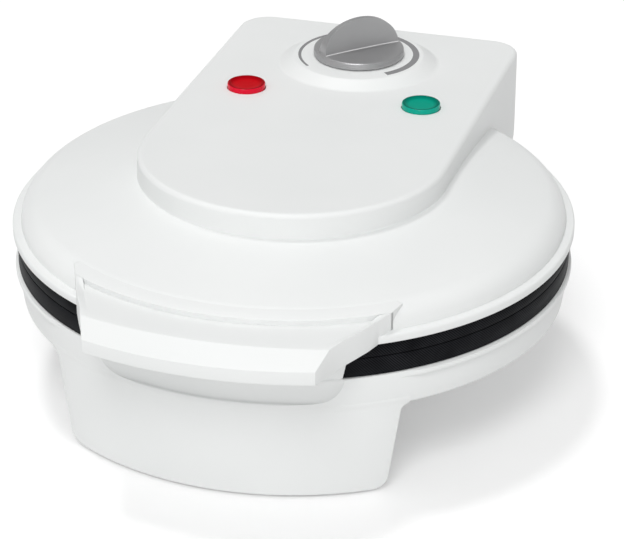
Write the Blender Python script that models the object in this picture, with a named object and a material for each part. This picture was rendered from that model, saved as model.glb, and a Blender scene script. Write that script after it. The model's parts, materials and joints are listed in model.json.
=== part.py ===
# Electric krumkake iron: two round patterned plates in a white base and a hinged lid.
# Lengths are in metres and +Z is up. The handle faces -Y and the hinge lies at the rear.
# Meshes are drawn about the centre line of the round plates, with the floor at zero.

import math

import bmesh
import bpy
from mathutils import Matrix, Vector

# Facets round small bars and holes, and round screws and their holes
ROUND_STEPS = 12
SCREW_STEPS = 8

# Clearances
SEAT_GAP = 0.0003
HINGE_SIDE_GAP = 0.0004
PIN_CLEARANCE = 0.0003
GUARD_GAP = 0.0007

# Heights, from the floor up
FOOT_STAND = 0.0011
LEG_HEIGHT = 0.0351
PAN_DEPTH = 0.0144
LOWER_BAND = 0.0076
UPPER_BAND = 0.0058
CROWN_RISE = 0.0203
CONSOLE_RISE = 0.0069
DIAL_BOSS_RISE = 0.0038

# Round plan sizes and the wall of both mouldings
LID_RADIUS = 0.1100
PLATE_SETBACK = 0.0017
PAN_SETBACK = 0.0014
PAN_TAPER = 0.0017
BEAD_HEIGHT = 0.0024
BEAD_STAND = 0.0009
BEAD_EDGE = 0.0005
BEAD_FADE = math.radians(4)
PAN_EDGE = 0.0009
PAN_LIP = 0.0006
WALL = 0.0024
SHELL_STEPS = 44

# Lid dome
RIM_HEIGHT = 0.0033
RIM_LAND = 0.0034
SHOULDER_WIDTH = 0.0093
SHOULDER_RISE = 0.0126
CROWN_MARGIN = 0.0010
CROWN_BLEND = 0.0031
CROWN_EASE = 0.0009
RIM_WALL = 0.0050
RIM_EDGE = 0.0009
SHOULDER_STEPS = 4

# Console and the tower behind it
CONSOLE_HALF_WIDTH = 0.0610
CONSOLE_OVERHANG = 0.0295
CONSOLE_CORNER = 0.0130
CONSOLE_EDGE = 0.0020
CONSOLE_SLOPE = 0.0190
CONSOLE_FRONT_STEPS = 20
CORNER_STEPS = 3
TOWER_DROP = 0.0115
TOWER_FRONT_GAP = 0.0018
TOWER_FOOT_ROUND = 0.0050
TOWER_ARCH_SETBACK = 0.0045

# Handle
HANDLE_OVERHANG = 0.0190
HANDLE_LIP_HALF = 0.0437
HANDLE_CREASE_HALF = 0.0468
HANDLE_ROOT_HALF = 0.0645
HANDLE_DROP = 0.0033
HANDLE_UNDER_RISE = 0.0033
LIP_TOP = 0.0019
CREASE_RISE = 0.0075
CREASE_SETBACK = 0.0078
HANDLE_BOW = 0.0065
STEP_SETBACK = 0.0030
STEP_DROP = 0.0022
STEP_SHARE = 0.885
STEP_RAMP = 0.012
HANDLE_EDGE = 0.0006
HANDLE_ROOT_SETBACK = 0.0273
HANDLE_INNER_SETBACK = 0.0198
HANDLE_INNER_SINK = 0.0006
HANDLE_SHOULDER_SETBACK = 0.0088
HANDLE_SHOULDER_LIFT = 0.0002
HANDLE_ROOT_DEPTH = 0.0050
GUARD_HALF_WIDTH = 0.0480
GUARD_THICKNESS = 0.0018

# Hinge
HINGE_SETBACK = 0.0080
KNUCKLE_RADIUS = 0.0080
KNUCKLE_LENGTH = 0.0180
HINGE_BOSS_RADIUS = 0.0054
HINGE_BOSS_LENGTH = 0.0102
PIN_RADIUS = 0.0025
ARM_TOE_SETBACK = 0.0055
ARM_TOE_RISE = 0.0082
ARM_STEPS = 9

# Legs and feet
FRONT_LEG_TOP_HALF = 0.0660
FRONT_LEG_FOOT_HALF = 0.0612
REAR_LEG_TOP_HALF = 0.0620
REAR_LEG_FOOT_HALF = 0.0570
LEG_SETBACK = 0.0007
FRONT_LEG_DEPTH = 0.0220
REAR_LEG_DEPTH = 0.0320
LEG_CORNER = 0.0045
LEG_FLARE = 0.0025
LEG_STEPS = 13
HOLLOW_STEPS = 9
COLUMN_RADIUS = 0.0080
FOOT_RADIUS = 0.0065
FOOT_STEM_RADIUS = 0.0025
FOOT_STEM_LENGTH = 0.0060
FOOT_THICKNESS = 0.0019
COVER_THICKNESS = 0.0020
COVER_SCREW_SPACING = 0.0150
COVER_SCREW_GRIP = 0.0085
CORD_HOLE_RADIUS = 0.0060
CORD_BORE_RADIUS = 0.0034
CORD_HOLE_HEIGHT = 0.0180
GROMMET_FLANGE = 0.0015
GROMMET_LIP = 0.0025
BLOCK_HALF_LENGTH = 0.0150
BLOCK_WIDTH = 0.0060
BLOCK_HEIGHT = 0.0110
BLOCK_SLOT_X = 0.0050
BLOCK_SLOT_HALF = 0.0006
BLOCK_SLOT_DEPTH = 0.0050

# Finger recess in the base under the handle
RECESS_HALF_WIDTH = 0.0465
RECESS_DEPTH = 0.0106
RECESS_HEIGHT = 0.0113
RECESS_ROOF = 0.0018
RECESS_CORNER = 0.0050
RIM_NOTCH = 0.0021

# Baking plates
FACE_RECESS = 0.0012
PLATE_THICKNESS = 0.0043
LAND_WIDTH = 0.0051
FACE_SLOPE = 0.0018
PATTERN_HEIGHT = 0.0007
PETAL_COUNT = 6
FLOWER_CORE = 0.0060
FLOWER_RADIUS = 0.0140
RING_RADIUS = 0.0185
PETAL_MIDDLE = 0.0300
PETAL_RADIUS = 0.0460
BAND_RADIUS = 0.0490
BORDER_INNER = 0.0520
BORDER_MIDDLE = 0.0660
BORDER_RADIUS = 0.0800
PLATE_STEPS = 36
PLATE_BOSS_RADIUS = 0.0050
PLATE_BOSS_HEIGHT = 0.0016
SPACER_HEIGHT = 0.0030
SPACER_RADIUS = 0.0044
SCREW_EDGE = 0.0048
SCREW_HEAD_RADIUS = 0.0030
SCREW_HEAD_HEIGHT = 0.0016
SCREW_RADIUS = 0.0016
SCREW_LENGTH = 0.0150
SCREW_COUNT = 4

# Heating elements and their reflectors
ELEMENT_RADIUS = 0.0032
ELEMENT_SIDES = 6
ELEMENT_RING_RADIUS = 0.0580
TERMINAL_HALF_SPACING = 0.0110
ELEMENT_STEPS = 28
SHEET = 0.0006
REFLECTOR_GAP = 0.0008
REFLECTOR_DISH = 0.0031
REFLECTOR_DISH_MARGIN = 0.0120
REFLECTOR_STEPS = 24

# Dial, knob and thermostat
DIAL_STEPS = 28
DIAL_Y = 0.0965
DIAL_BOSS_RADIUS = 0.0330
DIAL_BOSS_TOP_RADIUS = 0.0270
KNOB_RADIUS = 0.0189
KNOB_SKIRT = 0.0030
KNOB_HEIGHT = 0.0161
KNOB_FIN_HALF = 0.0018
KNOB_CREASE_RISE = 0.0020
KNOB_TURN = math.radians(-45)
KNOB_EDGE = 0.0004
KNOB_LEDGE = 0.0012
KNOB_DOME_STEPS = 7
SPINDLE_RADIUS = 0.0030
SPINDLE_CLEARANCE = 0.0004
SPINDLE_STEPS = 20
NECK_WALL = 0.0016
THERMOSTAT_HALF_WIDTH = 0.0125
THERMOSTAT_HALF_DEPTH = 0.0140
THERMOSTAT_HEIGHT = 0.0085
THERMOSTAT_CORNER = 0.0030
BRACKET_HALF_LENGTH = 0.0220
BRACKET_HALF_WIDTH = 0.0110
BRACKET_THICKNESS = 0.0010
BRACKET_SCREW_X = 0.0175
POST_LENGTH = 0.0055
POST_RADIUS = 0.0036

# Pilot lights and fuse
LENS_X = 0.0368
LENS_Y = 0.0565
LENS_RADIUS = 0.0078
LENS_STEPS = 16
LENS_STAND = 0.0017
LENS_FLANGE = 0.0014
LENS_FLANGE_THICKNESS = 0.0008
LENS_EDGE = 0.0006
LAMP_RADIUS = 0.0030
LAMP_LENGTH = 0.0110
FUSE_RADIUS = 0.0020
FUSE_LENGTH = 0.0110
FUSE_Y = 0.0200

# Heights that follow
leg_bottom_z = FOOT_STAND
pan_bottom_z = leg_bottom_z + LEG_HEIGHT
pan_rim_z = pan_bottom_z + PAN_DEPTH
parting_z = pan_rim_z + LOWER_BAND
lid_rim_z = parting_z + UPPER_BAND
crown_z = lid_rim_z + CROWN_RISE
console_z = crown_z + CONSOLE_RISE
dial_boss_z = console_z + DIAL_BOSS_RISE
console_inner_z = console_z - WALL

# Plan sizes that follow
plate_radius = LID_RADIUS - PLATE_SETBACK
pan_rim_radius = LID_RADIUS - PAN_SETBACK
pan_foot_radius = pan_rim_radius - PAN_TAPER
bead_radius = pan_rim_radius + BEAD_STAND
leg_radius = pan_foot_radius - LEG_SETBACK
console_rear_y = LID_RADIUS + CONSOLE_OVERHANG
handle_front_y = LID_RADIUS + HANDLE_OVERHANG
hinge_y = LID_RADIUS + HINGE_SETBACK
plates_y = (handle_front_y - console_rear_y) / 2
shoulder_outer = LID_RADIUS - RIM_LAND
shoulder_inner = shoulder_outer - SHOULDER_WIDTH
cone_top_radius = CONSOLE_HALF_WIDTH + CROWN_MARGIN + CROWN_BLEND
cone_fall = CROWN_RISE - CROWN_EASE - SHOULDER_RISE
cone_slope = cone_fall / (shoulder_inner - cone_top_radius)
recess_radius = pan_rim_radius - RECESS_DEPTH
recess_back_radius = recess_radius - WALL
reflector_radius = recess_back_radius - REFLECTOR_GAP
screw_circle = reflector_radius - SCREW_EDGE
hinge_boss_x = CONSOLE_HALF_WIDTH - WALL - HINGE_BOSS_LENGTH
knuckle_outer_x = hinge_boss_x - HINGE_SIDE_GAP
knuckle_inner_x = knuckle_outer_x - KNUCKLE_LENGTH
plate_back = SEAT_GAP / 2 + FACE_RECESS + PLATE_THICKNESS
stack_plate = plate_back + PLATE_BOSS_HEIGHT
stack_spacer = stack_plate + SEAT_GAP + SPACER_HEIGHT
stack_sheet = stack_spacer + SEAT_GAP + SHEET
stack_boss = stack_sheet + SEAT_GAP
element_level = plate_back + SEAT_GAP + ELEMENT_RADIUS
terminal_reach = parting_z - element_level - pan_bottom_z - WALL - 2 * SEAT_GAP

# Small overlap that makes two forms of one moulding run into each other
MERGE = 0.0005
# How far a cutter runs past the face that it opens
PAST = 0.0020

WHITE_PLASTIC = ("white_plastic", (0.86, 0.87, 0.86), 0.28, 0.0)
DARK_CAST = ("dark_cast_plate", (0.035, 0.036, 0.040), 0.45, 0.6)
STEEL = ("bright_steel", (0.62, 0.62, 0.60), 0.32, 1.0)
SATIN_SILVER = ("satin_silver", (0.46, 0.46, 0.46), 0.36, 0.8)
ELEMENT_STEEL = ("element_steel", (0.30, 0.28, 0.27), 0.5, 0.9)
RED_LENS = ("red_lens", (0.72, 0.01, 0.03), 0.12, 0.0)
GREEN_LENS = ("green_lens", (0.0, 0.42, 0.33), 0.12, 0.0)
RUBBER = ("grey_rubber", (0.12, 0.12, 0.12), 0.8, 0.0)
CERAMIC = ("ceramic", (0.82, 0.80, 0.74), 0.6, 0.0)
BAKELITE = ("thermostat_case", (0.10, 0.07, 0.05), 0.5, 0.0)
LAMP_GLASS = ("lamp_glass", (0.80, 0.62, 0.50), 0.1, 0.0)
CRIMP_WHITE = ("fuse_sleeve", (0.80, 0.80, 0.76), 0.6, 0.0)


def clear_scene():
    for item in list(bpy.data.objects):
        bpy.data.objects.remove(item, do_unlink=True)


def solid(mesh_data):
    bmesh.ops.recalc_face_normals(mesh_data, faces=mesh_data.faces)
    mesh = bpy.data.meshes.new("form")
    mesh_data.to_mesh(mesh)
    mesh_data.free()
    form = bpy.data.objects.new("form", mesh)
    bpy.context.scene.collection.objects.link(form)
    return form


def loft(loops):
    # A closed skin through equal loops of points, with a flat cap at each end.
    skin = bmesh.new()
    rings = [[skin.verts.new(point) for point in loop] for loop in loops]
    for lower, upper in zip(rings, rings[1:]):
        for i in range(len(lower)):
            j = (i + 1) % len(lower)
            skin.faces.new((lower[i], lower[j], upper[j], upper[i]))
    skin.faces.new(list(reversed(rings[0])))
    skin.faces.new(rings[-1])
    return solid(skin)


def turned(profile, steps, centre=(0.0, 0.0)):
    # Points (radius, height). A profile that starts and ends on the axis gives a solid,
    # any other is closed on itself and gives a ring.
    skin = bmesh.new()
    rings = []
    for radius, height in profile:
        if radius == 0:
            rings.append([skin.verts.new((centre[0], centre[1], height))])
            continue
        ring = []
        for i in range(steps):
            angle = 2 * math.pi * i / steps
            x = centre[0] + radius * math.cos(angle)
            y = centre[1] + radius * math.sin(angle)
            ring.append(skin.verts.new((x, y, height)))
        rings.append(ring)
    pairs = list(zip(rings, rings[1:]))
    if profile[0][0] != 0:
        pairs.append((rings[-1], rings[0]))
    for near, far in pairs:
        for i in range(steps):
            j = (i + 1) % steps
            corners = [near[i % len(near)], near[j % len(near)], far[j % len(far)], far[i % len(far)]]
            corners = list(dict.fromkeys(corners))
            if len(corners) > 2:
                skin.faces.new(corners)
    return solid(skin)


def cylinder(x, y, radius, low, high, steps=ROUND_STEPS):
    return turned([(0, low), (radius, low), (radius, high), (0, high)], steps, (x, y))


def rod_along_x(start, end, y, z, radius, steps=ROUND_STEPS):
    loops = []
    for x in (start, end):
        loop = []
        for i in range(steps):
            angle = 2 * math.pi * (i + 0.5) / steps
            loop.append((x, y + radius * math.cos(angle), z + radius * math.sin(angle)))
        loops.append(loop)
    return loft(loops)


def slab_along_x(profile, start, end):
    # A prism whose (y, z) outline runs from one x to another.
    return loft([[(x, y, z) for y, z in profile] for x in (start, end)])


def block(low, high):
    outline = [(low[0], low[1]), (high[0], low[1]), (high[0], high[1]), (low[0], high[1])]
    return loft([[(x, y, z) for x, y in outline] for z in (low[2], high[2])])


def tube(path, radius, sides):
    # A round bar along a path of points.
    loops = []
    heading = (path[1] - path[0]).normalized()
    side = heading.orthogonal().normalized()
    for i, point in enumerate(path):
        before = path[max(i - 1, 0)]
        after = path[min(i + 1, len(path) - 1)]
        new_heading = (after - before).normalized()
        side = (heading.rotation_difference(new_heading) @ side).normalized()
        heading = new_heading
        other = heading.cross(side)
        loop = []
        for k in range(sides):
            angle = 2 * math.pi * k / sides
            loop.append(point + radius * (math.cos(angle) * side + math.sin(angle) * other))
        loops.append(loop)
    return loft(loops)


def sector_loop(z, inner_radius, outer_radius, half_angle, facing, steps=LEG_STEPS):
    # Plan loop of a ring sector; facing is -1 for the front and 1 for the rear.
    angles = [half_angle * (2 * i / steps - 1) for i in range(steps + 1)]
    outer = [(outer_radius * math.sin(a), facing * outer_radius * math.cos(a), z) for a in angles]
    inner = [(inner_radius * math.sin(a), facing * inner_radius * math.cos(a), z) for a in reversed(angles)]
    return outer + inner


def combine(target, tools, operation):
    # Joins or cuts with each tool in turn and removes the tools.
    for tool in tools:
        step = target.modifiers.new("step", "BOOLEAN")
        step.operation = operation
        step.solver = "EXACT"
        step.object = tool
        graph = bpy.context.evaluated_depsgraph_get()
        result = bpy.data.meshes.new_from_object(target.evaluated_get(graph))
        target.modifiers.clear()
        target.data = result
        bpy.data.objects.remove(tool, do_unlink=True)
    return target


def together(forms):
    # Several forms that don't touch, as one tool.
    gathered = bmesh.new()
    for form in forms:
        gathered.from_mesh(form.data)
        bpy.data.objects.remove(form, do_unlink=True)
    return solid(gathered)


def tidied(form):
    skin = bmesh.new()
    skin.from_mesh(form.data)
    bmesh.ops.remove_doubles(skin, verts=skin.verts, dist=0.000002)
    bmesh.ops.dissolve_limit(skin, angle_limit=math.radians(0.3), verts=skin.verts, edges=skin.edges)
    bmesh.ops.triangulate(skin, faces=skin.faces)
    skin.to_mesh(form.data)
    skin.free()
    return form


def material_of(finish):
    name, colour, roughness, metallic = finish
    material = bpy.data.materials.get(name)
    if material is None:
        material = bpy.data.materials.new(name)
        material.use_nodes = True
        shader = material.node_tree.nodes["Principled BSDF"]
        shader.inputs["Base Color"].default_value = (*colour, 1.0)
        shader.inputs["Roughness"].default_value = roughness
        shader.inputs["Metallic"].default_value = metallic
    return material


def add_pivot(name, place, parent):
    pivot = bpy.data.objects.new(name, None)
    pivot.location = place
    pivot.parent = parent
    bpy.context.scene.collection.objects.link(pivot)
    return pivot


def finish_piece(form, name, pivot, pivot_place, finish):
    form.name = name
    form.data.name = name
    form.data.materials.clear()
    form.data.materials.append(material_of(finish))
    form.data.shade_smooth()
    form.data.set_sharp_from_angle(angle=math.radians(32))
    form.parent = pivot
    form.location = -Vector(pivot_place)
    return form


def screw_places():
    # The four plate screws lie between the axes, clear of the recess and the console.
    places = []
    for i in range(SCREW_COUNT):
        angle = 2 * math.pi * (i + 0.5) / SCREW_COUNT
        places.append((screw_circle * math.cos(angle), screw_circle * math.sin(angle)))
    return places


def leg_half_width(z, top_half, foot_half):
    # Tapers to the foot, rounds off its lower corner and flares into the pan.
    taper = foot_half + (top_half - foot_half) * (z - leg_bottom_z) / LEG_HEIGHT
    rise = z - leg_bottom_z
    if rise < LEG_CORNER:
        missing = LEG_CORNER - rise
        taper -= LEG_CORNER - math.sqrt(LEG_CORNER ** 2 - missing ** 2)
    below_pan = pan_bottom_z - z
    if below_pan < LEG_FLARE:
        taper += LEG_FLARE * (1 - max(below_pan, 0) / LEG_FLARE) ** 2
    return taper


def leg_heights():
    heights = [leg_bottom_z, leg_bottom_z + LEG_CORNER * 0.15, leg_bottom_z + LEG_CORNER * 0.5]
    heights += [leg_bottom_z + LEG_CORNER, pan_bottom_z - LEG_FLARE, pan_bottom_z - LEG_FLARE * 0.4]
    heights += [pan_bottom_z, pan_bottom_z + MERGE]
    return heights


def leg_form(facing, top_half, foot_half, depth):
    loops = []
    for z in leg_heights():
        half_angle = math.asin(leg_half_width(z, top_half, foot_half) / leg_radius)
        loops.append(sector_loop(z, leg_radius - depth, leg_radius, half_angle, facing))
    return loft(loops)


def leg_hollow(facing, top_half, foot_half, depth):
    ceiling = pan_bottom_z - SEAT_GAP
    inner = leg_radius - depth + WALL
    outer = leg_radius - WALL
    loops = []
    for z in (leg_bottom_z - PAST, leg_bottom_z + LEG_CORNER, ceiling):
        height = max(z, leg_bottom_z)
        share = (height - leg_bottom_z) / LEG_HEIGHT
        half_width = foot_half + (top_half - foot_half) * share - 2 * WALL
        loops.append(sector_loop(z, inner, outer, math.asin(half_width / outer), facing, HOLLOW_STEPS))
    return loft(loops)


def foot_places():
    # One rubber foot in each outer corner of the two legs.
    places = []
    circle = leg_radius - WALL - COLUMN_RADIUS + MERGE
    for facing, foot_half, end in ((-1, FRONT_LEG_FOOT_HALF, "front"), (1, REAR_LEG_FOOT_HALF, "rear")):
        angle = math.asin(foot_half / leg_radius) - math.asin((COLUMN_RADIUS + 2 * WALL) / circle)
        for side, hand in ((-1, "left"), (1, "right")):
            x = side * circle * math.sin(angle)
            y = facing * circle * math.cos(angle)
            places.append((f"foot_{end}_{hand}", x, y))
    return places


def pan_form():
    return turned([
        (0, pan_bottom_z),
        (pan_foot_radius - PAN_EDGE, pan_bottom_z),
        (pan_foot_radius, pan_bottom_z + PAN_EDGE),
        (pan_rim_radius, pan_rim_z - PAN_LIP),
        (pan_rim_radius - PAN_LIP, pan_rim_z),
        (0, pan_rim_z),
    ], SHELL_STEPS)


def pan_bead():
    # A half-round bead below the rim that fades out at both sides of the front leg.
    gap_angle = math.asin(FRONT_LEG_TOP_HALF / bead_radius)
    top = pan_rim_z - SEAT_GAP
    low = top - BEAD_HEIGHT
    root = pan_rim_radius - WALL / 2
    loops = []
    for i in range(SHELL_STEPS + 1):
        angle = gap_angle + (2 * math.pi - 2 * gap_angle) * i / SHELL_STEPS
        from_end = min(angle - gap_angle, 2 * math.pi - gap_angle - angle)
        outer = pan_rim_radius + BEAD_STAND * max(min(1.0, from_end / BEAD_FADE), 0.1)
        section = [(root, top), (outer - BEAD_EDGE, top), (outer, top - BEAD_EDGE), (outer, low + BEAD_EDGE),
                   (outer - BEAD_EDGE, low), (root, low)]
        loops.append([(r * math.sin(angle), -r * math.cos(angle), z) for r, z in section])
    return loft(loops)


def recess_half_angle(half_width):
    return math.asin(half_width / pan_rim_radius)


def recess_cutter():
    # The finger recess, and above its roof the notch that sets the rim back.
    floor = pan_rim_z - RECESS_HEIGHT
    roof = pan_rim_z - RECESS_ROOF
    outer = LID_RADIUS + PAST
    notch_radius = pan_rim_radius - RIM_NOTCH
    levels = [(floor + rise * RECESS_CORNER, recess_radius, shrink * RECESS_CORNER)
              for rise, shrink in ((0, 0.9), (0.15, 0.5), (0.5, 0.14), (1.0, 0))]
    levels += [(roof, recess_radius, 0), (roof + SEAT_GAP, notch_radius, 0),
               (pan_rim_z + PAST, notch_radius, 0)]
    loops = []
    for z, inner, shrink in levels:
        half_angle = recess_half_angle(RECESS_HALF_WIDTH - shrink)
        loops.append(sector_loop(z, inner, outer, half_angle, -1))
    return loft(loops)


def pan_cavity():
    # The pan's hollow, which stops short of the wall behind the finger recess.
    floor = pan_bottom_z + WALL
    wide = pan_rim_radius - 2 * WALL
    cavity = turned([(0, floor), (wide - WALL, floor), (wide, floor + WALL), (wide, pan_rim_z + PAST),
                     (0, pan_rim_z + PAST)], SHELL_STEPS)
    half_angle = recess_half_angle(RECESS_HALF_WIDTH + WALL)
    keeper = loft([sector_loop(z, recess_back_radius, LID_RADIUS, half_angle, -1)
                   for z in (floor - PAST, pan_rim_z + 2 * PAST)])
    return combine(cavity, [keeper], "DIFFERENCE")


def hinge_arm(side):
    # An arm from the rear of the pan that ends in a hinge knuckle.
    root = pan_rim_radius - 2 * WALL
    outline = [(root, pan_bottom_z + WALL), (pan_foot_radius + MERGE, pan_bottom_z + WALL),
               (hinge_y - ARM_TOE_SETBACK, pan_bottom_z + ARM_TOE_RISE)]
    for i in range(ARM_STEPS + 1):
        angle = math.pi * (1.25 * i / ARM_STEPS - 0.25)
        y = hinge_y + KNUCKLE_RADIUS * math.cos(angle)
        z = parting_z + KNUCKLE_RADIUS * math.sin(angle)
        outline.append((y, z))
    outline += [(hinge_y - KNUCKLE_RADIUS - MERGE, pan_rim_z), (root, pan_rim_z - RECESS_ROOF)]
    ends = sorted((side * knuckle_inner_x, side * knuckle_outer_x))
    return slab_along_x(outline, ends[0], ends[1])


def base_housing():
    legs = [
        leg_form(-1, FRONT_LEG_TOP_HALF, FRONT_LEG_FOOT_HALF, FRONT_LEG_DEPTH),
        leg_form(1, REAR_LEG_TOP_HALF, REAR_LEG_FOOT_HALF, REAR_LEG_DEPTH),
    ]
    arms = together([hinge_arm(-1), hinge_arm(1)])
    shell = combine(pan_form(), [pan_bead(), arms, together(legs)], "UNION")
    hollows = together([
        leg_hollow(-1, FRONT_LEG_TOP_HALF, FRONT_LEG_FOOT_HALF, FRONT_LEG_DEPTH),
        leg_hollow(1, REAR_LEG_TOP_HALF, REAR_LEG_FOOT_HALF, REAR_LEG_DEPTH),
    ])
    combine(shell, [pan_cavity(), hollows, recess_cutter()], "DIFFERENCE")

    boss_top = parting_z - stack_boss
    floor = pan_bottom_z + WALL - MERGE
    screw_bosses = [cylinder(x, y, SPACER_RADIUS, floor, boss_top, SCREW_STEPS) for x, y in screw_places()]
    column_foot = FOOT_THICKNESS + SEAT_GAP
    ceiling = pan_bottom_z - SEAT_GAP + MERGE
    columns = [cylinder(x, y, COLUMN_RADIUS, column_foot, ceiling) for _, x, y in foot_places()]
    cover_bosses = [cylinder(x, y, SPACER_RADIUS, cover_top() + SEAT_GAP, ceiling, SCREW_STEPS)
                    for x, y in cover_screw_places()]
    combine(shell, [together(screw_bosses), together(columns + cover_bosses)], "UNION")

    pilots = [cylinder(x, y, SCREW_RADIUS + SEAT_GAP, screw_tip(1) - MERGE, boss_top + PAST, SCREW_STEPS)
              for x, y in screw_places()]
    stems = [cylinder(x, y, FOOT_STEM_RADIUS + SEAT_GAP, column_foot - PAST,
                      column_foot + FOOT_STEM_LENGTH + MERGE, SCREW_STEPS) for _, x, y in foot_places()]
    cover_pilots = [cylinder(x, y, SCREW_RADIUS + SEAT_GAP, cover_top(),
                             cover_screw_tip() + MERGE, SCREW_STEPS) for x, y in cover_screw_places()]
    pin_holes = [rod_along_x(side * (knuckle_inner_x - PAST), side * (knuckle_outer_x + PAST), hinge_y,
                             parting_z, PIN_RADIUS + PIN_CLEARANCE) for side in (-1, 1)]
    wire_pass = cylinder(0, wire_pass_y(), CORD_HOLE_RADIUS, pan_bottom_z - PAST, pan_bottom_z + 2 * WALL)
    holes = together(pilots + stems + cover_pilots + pin_holes + [cord_hole(), wire_pass])
    return tidied(combine(shell, [holes], "DIFFERENCE"))


def cover_top():
    return leg_bottom_z + WALL + COVER_THICKNESS


def cover_screw_places():
    # Each one stands a fixed distance inside the rear foot on its side.
    y = leg_radius - REAR_LEG_DEPTH / 2
    rear_feet = [x for name, x, _ in foot_places() if "rear" in name]
    return [(x - math.copysign(COVER_SCREW_SPACING, x), y) for x in sorted(rear_feet)]


def cover_screw_tip():
    return cover_top() + COVER_SCREW_GRIP


def wire_pass_y():
    return leg_radius - REAR_LEG_DEPTH / 2


def cord_hole_z():
    return leg_bottom_z + CORD_HOLE_HEIGHT


def cord_hole():
    hole = cylinder(0, 0, CORD_HOLE_RADIUS + SEAT_GAP, leg_radius - 2 * WALL, leg_radius + WALL)
    turn = Matrix.Rotation(math.radians(-90), 4, "X")
    hole.data.transform(Matrix.Translation((0, 0, cord_hole_z())) @ turn)
    return hole


def cord_grommet():
    # A rubber bush with a flange on each face of the rear leg's wall.
    inside = leg_radius - WALL - SEAT_GAP
    outside = leg_radius + SEAT_GAP
    flange = GROMMET_FLANGE
    flange_radius = CORD_HOLE_RADIUS + GROMMET_LIP
    bow = leg_radius - math.sqrt(leg_radius ** 2 - flange_radius ** 2)
    bush = turned([
        (CORD_BORE_RADIUS, inside - bow - flange), (flange_radius, inside - bow - flange),
        (flange_radius, inside - bow), (CORD_HOLE_RADIUS, inside - bow),
        (CORD_HOLE_RADIUS, outside), (flange_radius, outside),
        (flange_radius - flange / 2, outside + flange), (CORD_BORE_RADIUS, outside + flange),
    ], ROUND_STEPS)
    turn = Matrix.Rotation(math.radians(-90), 4, "X")
    bush.data.transform(Matrix.Translation((0, 0, cord_hole_z())) @ turn)
    return bush


def rear_leg_cover():
    # A flat plate that closes the wiring space in the rear leg.
    inner = leg_radius - REAR_LEG_DEPTH + WALL + SEAT_GAP
    outer = leg_radius - WALL - SEAT_GAP
    half_angle = math.asin((REAR_LEG_FOOT_HALF - 2 * WALL - SEAT_GAP) / outer)
    low = leg_bottom_z + WALL
    plate = loft([sector_loop(z, inner, outer, half_angle, 1) for z in (low, cover_top())])
    clear = COLUMN_RADIUS + SEAT_GAP
    cuts = [cylinder(x, y, clear, low - PAST, cover_top() + PAST) for name, x, y in foot_places()
            if "rear" in name]
    cuts += [cylinder(x, y, SCREW_RADIUS + SEAT_GAP, low - PAST, cover_top() + PAST, SCREW_STEPS)
             for x, y in cover_screw_places()]
    return tidied(combine(plate, [together(cuts)], "DIFFERENCE"))


def headed_screw(x, y, seat, tip):
    # The head stands on the far side of its seat from the tip.
    head = seat - math.copysign(SCREW_HEAD_HEIGHT, tip - seat)
    profile = [(0, head), (SCREW_HEAD_RADIUS * 0.85, head), (SCREW_HEAD_RADIUS, seat), (SCREW_RADIUS, seat),
               (SCREW_RADIUS, tip), (0, tip)]
    return turned(profile, SCREW_STEPS, (x, y))


def cover_screw(x, y):
    return headed_screw(x, y, leg_bottom_z + WALL - SEAT_GAP, cover_screw_tip())


def foot_pad(x, y):
    high = FOOT_THICKNESS
    stem = high + FOOT_STEM_LENGTH
    edge = high / 3
    return turned([(0, 0), (FOOT_RADIUS - edge, 0), (FOOT_RADIUS, edge), (FOOT_RADIUS, high),
                   (FOOT_STEM_RADIUS, high), (FOOT_STEM_RADIUS, stem), (0, stem)], ROUND_STEPS, (x, y))


def terminal_block():
    # Ceramic block under the pan floor, between the rear leg's cover bosses.
    top = pan_bottom_z - 2 * SEAT_GAP
    low = top - BLOCK_HEIGHT
    near = leg_radius - REAR_LEG_DEPTH + WALL + SEAT_GAP
    far = near + BLOCK_WIDTH
    body = block((-BLOCK_HALF_LENGTH, near, low), (BLOCK_HALF_LENGTH, far, top))
    cuts = []
    for x in (-BLOCK_SLOT_X, BLOCK_SLOT_X):
        cuts.append(block((x - BLOCK_SLOT_HALF, near - PAST, low - PAST),
                          (x + BLOCK_SLOT_HALF, far + PAST, low + BLOCK_SLOT_DEPTH)))
    return combine(body, [together(cuts)], "DIFFERENCE")


def pattern_height(radius, angle):
    # A traditional rosette: a flower in a ring, petals in a second ring and a scalloped border.
    petal = math.cos(PETAL_COUNT * angle)
    if radius in (RING_RADIUS, BAND_RADIUS):
        return 1.0
    if radius <= FLOWER_RADIUS:
        return 0.6 + 0.4 * petal
    if radius <= PETAL_RADIUS:
        return max(0.0, petal) + 0.25 * max(0.0, -petal)
    return 0.5 - 0.5 * math.cos(2 * PETAL_COUNT * angle)


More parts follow.
